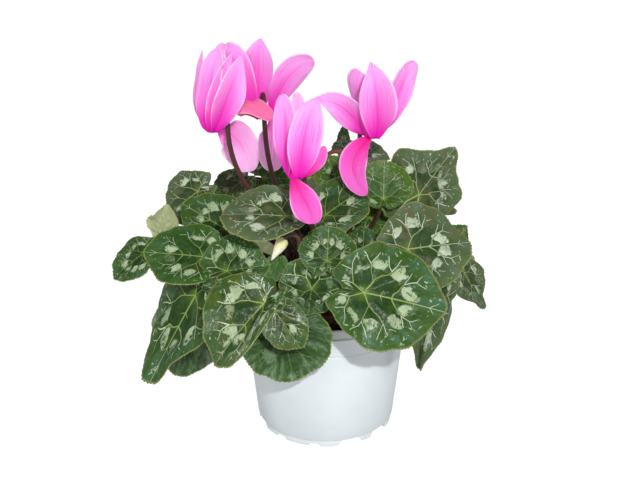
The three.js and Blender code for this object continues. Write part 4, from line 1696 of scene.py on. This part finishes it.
@dataclass
class Pot:
    """A tapered growing pot with a deep collar, a beaded lip and a notched foot ring.

    wide and narrow are its two kinds of notch: their width at the foot and at the head, and their height.
    """

    height: float = 96.0
    bead_radius: float = 60.0
    bead_z: float = 88.5
    bead_half: float = 1.2
    lip_radius: float = 58.8
    collar_z: float = 76.2
    body_top: float = 58.0
    body_foot: float = 50.8
    foot_radius: float = 50.0
    foot_height: float = 5.0
    wall: float = 1.6
    groove: float = 0.6
    hub: float = 16.0
    notches: int = 12
    first_notch: float = -69.0
    wide: Place = (20.0, 12.0, 5.0)
    narrow: Place = (12.0, 5.0, 2.4)
    drains: int = 6
    drain_radius: float = 5.0
    drain_ring: float = 32.0
    drain_depth: float = 5.0
    drain_sides: int = 32
    sides: int = 144
    bevel: float = 0.25
    bevel_from: float = 50.0
    smooth_to: float = 35.0

    def outline(self) -> list[tuple[float, float]]:
        """Draws the pot's section.

        Returns:
            Its radius and height pairs.
        """
        lip, wall, groove, hub = self.lip_radius, self.wall, self.groove, self.hub
        foot, low, top, bottom = self.foot_radius, self.foot_height, self.body_top, self.body_foot
        collar, swell = self.collar_z, self.bead_radius - self.lip_radius - 0.2
        bead = [(lip + 0.2 + swell * math.cos(a), self.bead_z + self.bead_half * math.sin(a))
                for a in map(math.radians, range(-90, 91, 20))]
        edge = [(lip - 0.8 + 0.8 * math.cos(a), self.height - 0.8 + 0.8 * math.sin(a))
                for a in map(math.radians, range(0, 181, 30))]
        return [
            (0, 0), (hub - 0.8, 0), (hub, 0.8), (hub + 1, low), (foot - 3, low), (foot - 3, 0.3),
            (foot - 2.7, 0), (foot - 0.4, 0), (foot, 0.4), (foot, low - 0.9), (foot - groove, low - 0.4),
            (foot - groove, low), (bottom - 0.2, low), (bottom, low + 0.3), (top - 0.1, collar - 1.1),
            (top - groove, collar - 0.6), (top - groove, collar), (lip - 0.25, collar),
            (lip, collar + 0.3), *bead, *edge,
            (lip - wall, collar), (top - wall, collar - 2), (bottom - wall, low + wall),
            (hub - wall + 1, low + wall), (hub - wall, wall), (0, wall),
        ]

    def cutter(self, sizes: Place, turn: float) -> bpy.types.Object:
        """Makes the block that cuts one notch of the foot ring.

        Args:
            sizes: Its width at the foot, its width at the head and its height.
            turn: The bearing of the notch in degrees.

        Returns:
            The mesh object.
        """
        foot, head, height = sizes
        bpy.ops.mesh.primitive_cube_add(size=1)
        block = bpy.context.object
        out, along = bearing(turn), bearing(turn + 90)
        for vertex in block.data.vertices:
            x, y, z = vertex.co
            width, level = (head, height) if z > 0 else (foot, -1)
            vertex.co = (out * (self.foot_radius - 1 + 8 * y) + along * width * x + UP * level) * MM
        return block

    def drain(self, turn: float) -> bpy.types.Object:
        """Makes the rod that cuts one drain hole.

        Args:
            turn: The bearing of the hole in degrees.

        Returns:
            The mesh object.
        """
        place = bearing(turn) * self.drain_ring + UP * (self.foot_height + self.wall / 2)
        bpy.ops.mesh.primitive_cylinder_add(vertices=self.drain_sides, radius=self.drain_radius * MM,
                                            depth=self.drain_depth * MM, location=place * MM)
        bpy.ops.object.transform_apply(location=True, rotation=True, scale=True)
        return bpy.context.object

    def build(self) -> None:
        """Models the pot, cuts its notches and drains, and dresses it."""
        piece = lathed("growing_pot", self.outline(), self.sides, PLASTIC)
        sizes = [self.wide if i % 4 < 2 else self.narrow for i in range(self.notches)]
        notches = [self.cutter(size, self.first_notch + 360 * i / self.notches)
                   for i, size in enumerate(sizes)]
        drains = [self.drain(360 * i / self.drains) for i in range(self.drains)]
        tool = joined("pot_cutters", *notches, *drains)
        mend(tool, outward=True)
        finish_with(piece, "BOOLEAN", operation="DIFFERENCE", object=tool, solver="EXACT")
        bpy.data.objects.remove(tool)
        finish_with(piece, "BEVEL", width=self.bevel * MM, segments=2, limit_method="ANGLE",
                    angle_limit=math.radians(self.bevel_from))
        bpy.ops.object.shade_smooth_by_angle(angle=math.radians(self.smooth_to))
        install(piece, "pot")


@dataclass
class Soil:
    """Peat that fills the pot, with a bed for the tuber and an uneven top of mound, crumb and grit."""

    pot: Pot
    clear: float = 0.3
    top: float = 85.0
    bed: float = 27.3
    bed_floor: float = 77.7
    rings: int = 16
    sides: int = 160
    mound: float = 1.1
    crumb: float = 0.5
    grit: float = 0.35

    def inner(self, z: float) -> tuple[float, float]:
        """Gives the corner of the soil's section at a height.

        Args:
            z: The height.

        Returns:
            The soil's radius there, and the height.
        """
        pot = self.pot
        rise = (z - pot.foot_height) / (pot.collar_z - pot.foot_height)
        wall = min(pot.body_foot + (pot.body_top - pot.body_foot) * rise, pot.body_top)
        return wall - pot.wall - 2 * self.clear, z

    def crumbled(self, points: np.ndarray) -> np.ndarray:
        """Crumbles the top.

        Args:
            points: The points of the smooth soil.

        Returns:
            The moved points.
        """
        x, y, z = points.T
        mound = self.mound * np.sin(0.31 * x + 1) * np.cos(0.27 * y)
        crumb = self.crumb * np.sin(1.3 * x + 0.6 * y) * np.sin(1.1 * y - 0.4 * x + 2)
        grit = self.grit * np.sin(2.9 * x) * np.sin(2.6 * y + 1)
        return np.stack([x, y, z + np.where(z > self.top - 0.2, mound + crumb + grit, 0)], 1)

    def build(self) -> None:
        """Models the soil and dresses it."""
        low = self.pot.wall + self.clear
        floor = self.pot.foot_height + low
        hub = self.pot.hub - low
        heights = (floor, 40, self.pot.collar_z - 3, self.top - 5)
        outer = self.inner(self.top)[0]
        outline = [(0, low), (hub - 0.4, low), (hub, floor), *map(self.inner, heights)]
        outline += [(radius, self.top) for radius in np.linspace(outer, self.bed, self.rings + 1)]
        outline += [(self.bed, self.bed_floor), (0, self.bed_floor)]
        install(lathed("potting_soil", outline, self.sides, PEAT, self.crumbled), "soil")


# Studio


@dataclass(frozen=True)
class Lamp:
    """A soft square lamp: where it hangs, the length of its sides in metres and its power in watts."""

    name: str
    place: Place
    size: float
    power: float

    def hang(self, aim: Place) -> None:
        """Hangs the lamp.

        Args:
            aim: What it looks at.
        """
        data = bpy.data.lights.new(self.name, "AREA")
        data.size = self.size
        data.energy = self.power
        lamp = bpy.data.objects.new(self.name, data)
        bpy.context.scene.collection.objects.link(lamp)
        x, y, z = np.array(aim) - np.array(self.place)
        lamp.location = self.place
        lamp.rotation_euler = (math.atan2(math.hypot(x, y), -z), 0.0, math.atan2(-x, y))


@dataclass(frozen=True)
class Studio:
    """The pale floor, the soft light and the camera, in metres and degrees."""

    lamps: tuple[Lamp, ...] = (
        Lamp("key", (0.18, -1.0, 0.8), 0.04, 11),
        Lamp("fill", (-0.8, -0.8, 0.4), 0.4, 3.2),
        Lamp("side fill", (0.95, -0.6, 0.35), 0.4, 2.2),
        Lamp("back", (0.1, 1.0, 1.0), 0.6, 2),
    )
    aim: Place = (0.0, 0.0, 0.12)
    sky: float = 0.26
    floor_size: float = 60.0
    eye: Place = (0.0, -0.6, 0.368)
    pitch: float = 20.92
    yaw: float = 0.39
    lens: float = 50.96
    sensor: float = 36.0

    def build(self) -> None:
        """Sets the floor, the light and the camera."""
        bpy.ops.mesh.primitive_plane_add(size=self.floor_size)
        floor = bpy.context.object
        floor.name = "studio_floor"
        floor.data.materials.append(STUDIO_WHITE.material())
        floor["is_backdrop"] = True
        world = bpy.data.worlds.new("studio")
        world.use_nodes = True
        sky = world.node_tree.nodes["Background"]
        sky.inputs["Color"].default_value = PURE_WHITE
        sky.inputs["Strength"].default_value = self.sky
        scene = bpy.context.scene
        scene.world = world
        scene.view_settings.view_transform = "Standard"
        for lamp in self.lamps:
            lamp.hang(self.aim)
        data = bpy.data.cameras.new("camera")
        data.lens = self.lens
        data.sensor_width = self.sensor
        camera = bpy.data.objects.new("camera", data)
        scene.collection.objects.link(camera)
        camera.location = self.eye
        camera.rotation_euler = (math.radians(90 - self.pitch), 0.0, math.radians(self.yaw))
        scene.camera = camera


LEAVES = [
    # The front and both sides
    Leaf("front_right", (24, -78, 133), 51, (-84, 34), 76, 2, point=0.09, angular=0.05),
    Leaf("right_upper", (53, -52, 152), 44, (-74, 38), 92, 1, Tone.GREYED, angular=0.06),
    Leaf("right_crest", (65, 2, 172), 54, (-75, 24), 137, 1, Tone.GREYED, fold=0.016, droop=-0.006,
         width=0.8, skew=0.1, round=1.0, point=0.12, angular=0.13, corner=1.1),
    Leaf("green_fan", (39, -17, 175), 21, (-88, 25), 178, 1, Tone.BRIGHT, width=1.3, round=-0.6),
    Leaf("crown_right", (9, 2, 179), 21, (-95, 30), -155, 0, Tone.BRIGHT),
    Leaf("crown_front", (0, -36, 170), 32, (-85, 48), 128, 1, width=0.85, round=-0.2),
    Leaf("heart_front", (1, -65, 149), 22, (-90, 32), 178, 2, width=1.22),
    Leaf("heart_right", (25, -34, 139), 22, (-80, 45), 170, 1),
    Leaf("inner_right", (31, 0, 156), 28, (-84, 42), 172, 1, Tone.BRIGHT),
    Leaf("notched_front", (-9, -68, 131), 29, (-92, 22), -6, 2, droop=-0.015, round=1.4),
    Leaf("gloss_left", (-38, -91, 131), 43, (-100, 40), -37, 2, Tone.GLOSSY, droop=0.012, round=-0.4,
         width=0.75, skew=-0.5, angular=0.08, rise=0.65, reach=0.06),
    Leaf("gloss_lobe", (-32, -83, 123), 25, (-84, 22), 32, 2, Tone.GLOSSY, width=0.8, round=-0.4),
    Leaf("pot_front", (-27, -73, 105), 37, (-92, 12), 10, 2, Tone.DUSKY, width=1.2, round=0.2),
    Leaf("hanging_left", (-85, -58, 122), 50, (-118, 12), -26, 2, fold=0.02, droop=0.002,
         width=0.7, taper=0.5, skew=-0.1, round=-0.5, point=0.4, twist=0.3),
    Leaf("shade_left", (-87, -34, 98), 49, (-105, 4), -29, 2, Tone.DUSKY, width=0.72, round=-0.4),
    Leaf("bright_left", (-79, -56, 148), 39, (-100, 46), -92, 2, Tone.SILVERED, width=0.82),
    Leaf("bent_left", (-63, -68, 143), 31, (-96, 42), 104, 1, width=0.86, skew=0.35,
         round=0.5, fold=0.012),
    Leaf("dull_centre", (-25, -62, 178), 35, (-92, 54), -95, 1, Tone.GREYED, width=0.8, round=-0.5),
    Leaf("crown_left", (-67, -38, 161), 35, (-102, 42), -116, 1, width=0.9, angular=0.08),
    Leaf("left_crest", (-88, -5, 176), 32, (-118, 34), -45, 1, Tone.GREYED, angular=0.16),
    Leaf("pale_back", (-112, -18, 148), 30, (70, 20), -158, 1, width=0.75, angular=0.25),
    Leaf("far_left", (-121, -40, 144), 28, (-118, 34), -44, 2, width=0.8, angular=0.14),
    Leaf("shade_crown", (-61, 25, 174), 22, (-100, 50), -40, 0, Tone.GLOSSY),
    Leaf("green_crown", (-45, 35, 174), 27, (-70, 50), 80, 0, Tone.BRIGHT),
    Leaf("back_tip", (13, 70, 184), 14, (-95, 4), 178, 1, Tone.GREYED, width=0.55, round=-0.5, point=0.3),
    Leaf("back_crest", (23, 45, 189), 31, (-60, 77), 80, 0, Tone.GREYED, round=0.7),
    Leaf("far_right_tip", (87, -7, 137), 21, (-60, 30), 120, 2, Tone.GLOSSY, angular=0.2),
    Leaf("hanging_right", (97, -12, 119), 28, (-45, 12), 31, 2, Tone.GREYED, fold=0.03, width=0.7,
         taper=0.6, round=-0.2, point=0.36, twist=0.6),
    Leaf("drooping_right", (74, -46, 119), 49, (-70, 4), -14, 2, Tone.GREYED, fold=0.04, width=0.42,
         taper=0.6, point=0.3, twist=0.5),
    Leaf("young_front", (-31, -55, 144), 12, (-95, 30), -12, 2, Tone.PLAIN, rise=0.2),
    # inner_left stands in the gap behind the front leaves and is painted almost black, as painted shade
    # for the dark inside of the plant.
    Leaf("inner_left", (-21, 31, 121), 24, (-95, 6), 178, 2, Tone.SHADED, width=0.72, rise=0.2),
    # The back
    Leaf("back_low_1", (88, 38, 125), 40, (28, 35), 0, 2, angular=0.08),
    Leaf("back_low_2", (52, 82, 120), 42, (60, 32), 5, 2, Tone.GREYED),
    Leaf("back_low_3", (2, 98, 124), 40, (90, 34), -5, 2, Tone.SILVERED, angular=0.1),
    Leaf("back_low_4", (-48, 84, 118), 42, (120, 30), 5, 2),
    Leaf("back_low_5", (-88, 44, 124), 40, (155, 34), 0, 2, Tone.BRIGHT, angular=0.08),
    Leaf("back_high_1", (72, 45, 160), 34, (35, 52), 10, 1, Tone.SILVERED),
    Leaf("back_high_2", (32, 78, 156), 36, (68, 48), 0, 1),
    Leaf("back_high_3", (-18, 78, 158), 36, (100, 50), 0, 1, Tone.GREYED, angular=0.1),
    Leaf("back_high_4", (-62, 58, 156), 35, (135, 48), 0, 1),
    Leaf("back_crown_1", (47, 28, 171), 25, (35, 62), 0, 0, Tone.BRIGHT),
    Leaf("back_crown_2", (-2, 43, 168), 26, (95, 58), 0, 0),
]

BLOOMS = [
    Bloom("left", (-71, -42, 228), -15, 0, reach=0.4, petals=(
        Petal(165, (-10, 1, 27), (-5, 4, 50), 13, 55, Hue.UPRIGHT, point=0.9),
        Petal(-150, (1, -9, 33), (5, -2, 52), 18, 40, Hue.UPRIGHT, peak=0.66),
        Petal(-105, (6, -17, 33), (14, -5, 50), 13, 30, Hue.UPRIGHT, point=1.1),
        Petal(-70, (15, -18, 33), (20, -8, 49), 19, 0, Hue.UPRIGHT, point=1.1, crease=0.5),
        Petal(44, (20, 18, -8), (19, 14, -31), 26, -75, Hue.PALE, peak=0.66, point=0.3),
    )),
    Bloom("centre_back", (-42, -10, 229), -80, 0, reach=0.5, petals=(
        Petal(165, (-18, 4, 60), (-30, 6, 36), 19, -79, Hue.UPRIGHT, crease=0.2),
        Petal(110, (-4, 3, 41), (0, 3, 52), 21, -10, Hue.UPRIGHT, point=1.1, crease=0.7),
        Petal(30, (12, 1, 33), (34, 0, 38), 19, 50, Hue.UPRIGHT, peak=0.72, point=0.3),
        Petal(-150, (-20, -26, 31), (8, -18, 4), 15, 88, Hue.CORAL, point=0.3, crease=0.9),
        Petal(-10, (2, 16, -27), (7, 8, -39), 19, 81, Hue.PALE, point=0.4),
    )),
    Bloom("front", (-18, -76, 208), 62, 2, petals=(
        Petal(-165, (-3, -6, 41), (-8, -3, 51), 15, 60, Hue.UPRIGHT),
        Petal(-68, (4, -18, 38), (13, -6, 49), 20, -12, Hue.UPRIGHT, point=0.7),
        Petal(135, (6, 15, 44), (-1, 11, 49), 9, -44, Hue.PALE),
        Petal(-14, (14, 5, 14), (16, 2, 19), 12, -51, Hue.HANGING),
        Petal(-105, (9, -13, -13), (10, -7, -27), 17, -13, Hue.HANGING, peak=0.65, point=0.4),
    )),
    Bloom("right", (31, -14, 217), 150, 0, petals=(
        Petal(-160, (-13, -8, 27), (-40, -6, 27), 19, 65, Hue.UPRIGHT, point=1.0),
        Petal(-75, (4, -19, 33), (-3, -5, 51), 24, -10, Hue.UPRIGHT, point=1.1, crease=0.5),
        Petal(75, (-14, 8, 35), (-8, 6, 42), 19, -5, Hue.UPRIGHT, peak=0.7, point=0.3, crease=0.7),
        Petal(5, (16, 5, 36), (26, 3, 50), 19, -75, Hue.UPRIGHT, peak=0.68, point=0.4),
        Petal(-125, (-25, -20, -12), (-4, -13, -36), 18, -31, Hue.HANGING, peak=0.6),
    )),
]

SHOOTS = [
    Shoot((-12, -14, 90), 150, (-32, -28, 134)),
    Shoot((-17, -5, 90), 148, (-27, -8, 121), 1.8),
    Shoot((-11, 3, 90), 152, (-22, 3, 116), 1.8),
    Shoot((-19, 5, 90), 150, (-33, 4, 124), 1.6),
    Shoot((-16, 0, 90), 127, (-34, 0, 129), 2.0),
]

BUDS = [
    Bud("pale", (-22, -57, 164), 190, 5, 1, 32, HOOK_STEM),
    Bud("hidden", (8, 20, 198), -15, 10, 0, 50),
]


def corners() -> list[list[float]]:
    """Gives the whole object's lowest and highest corners as plain numbers."""
    return [[float(value) for value in corner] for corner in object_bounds()]


def main() -> None:
    """Builds the plant, the pot and the studio."""
    logging.basicConfig(level=logging.INFO, format="%(name)s: %(message)s")
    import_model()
    growers = [Grower(one.name, one.at, one.ring) for one in [*LEAVES, *BLOOMS, *BUDS]]
    crown = Crown(growers)
    pot = Pot()
    for assembly in (pot, Soil(pot), crown, Foliage(crown, LEAVES), Flowers(crown, BLOOMS, BUDS),
                     YoungShoots(SHOOTS)):
        assembly.build()
        LOG.info("%s done", type(assembly).__name__)
    Studio().build()


if __name__ == "__main__":
    main()
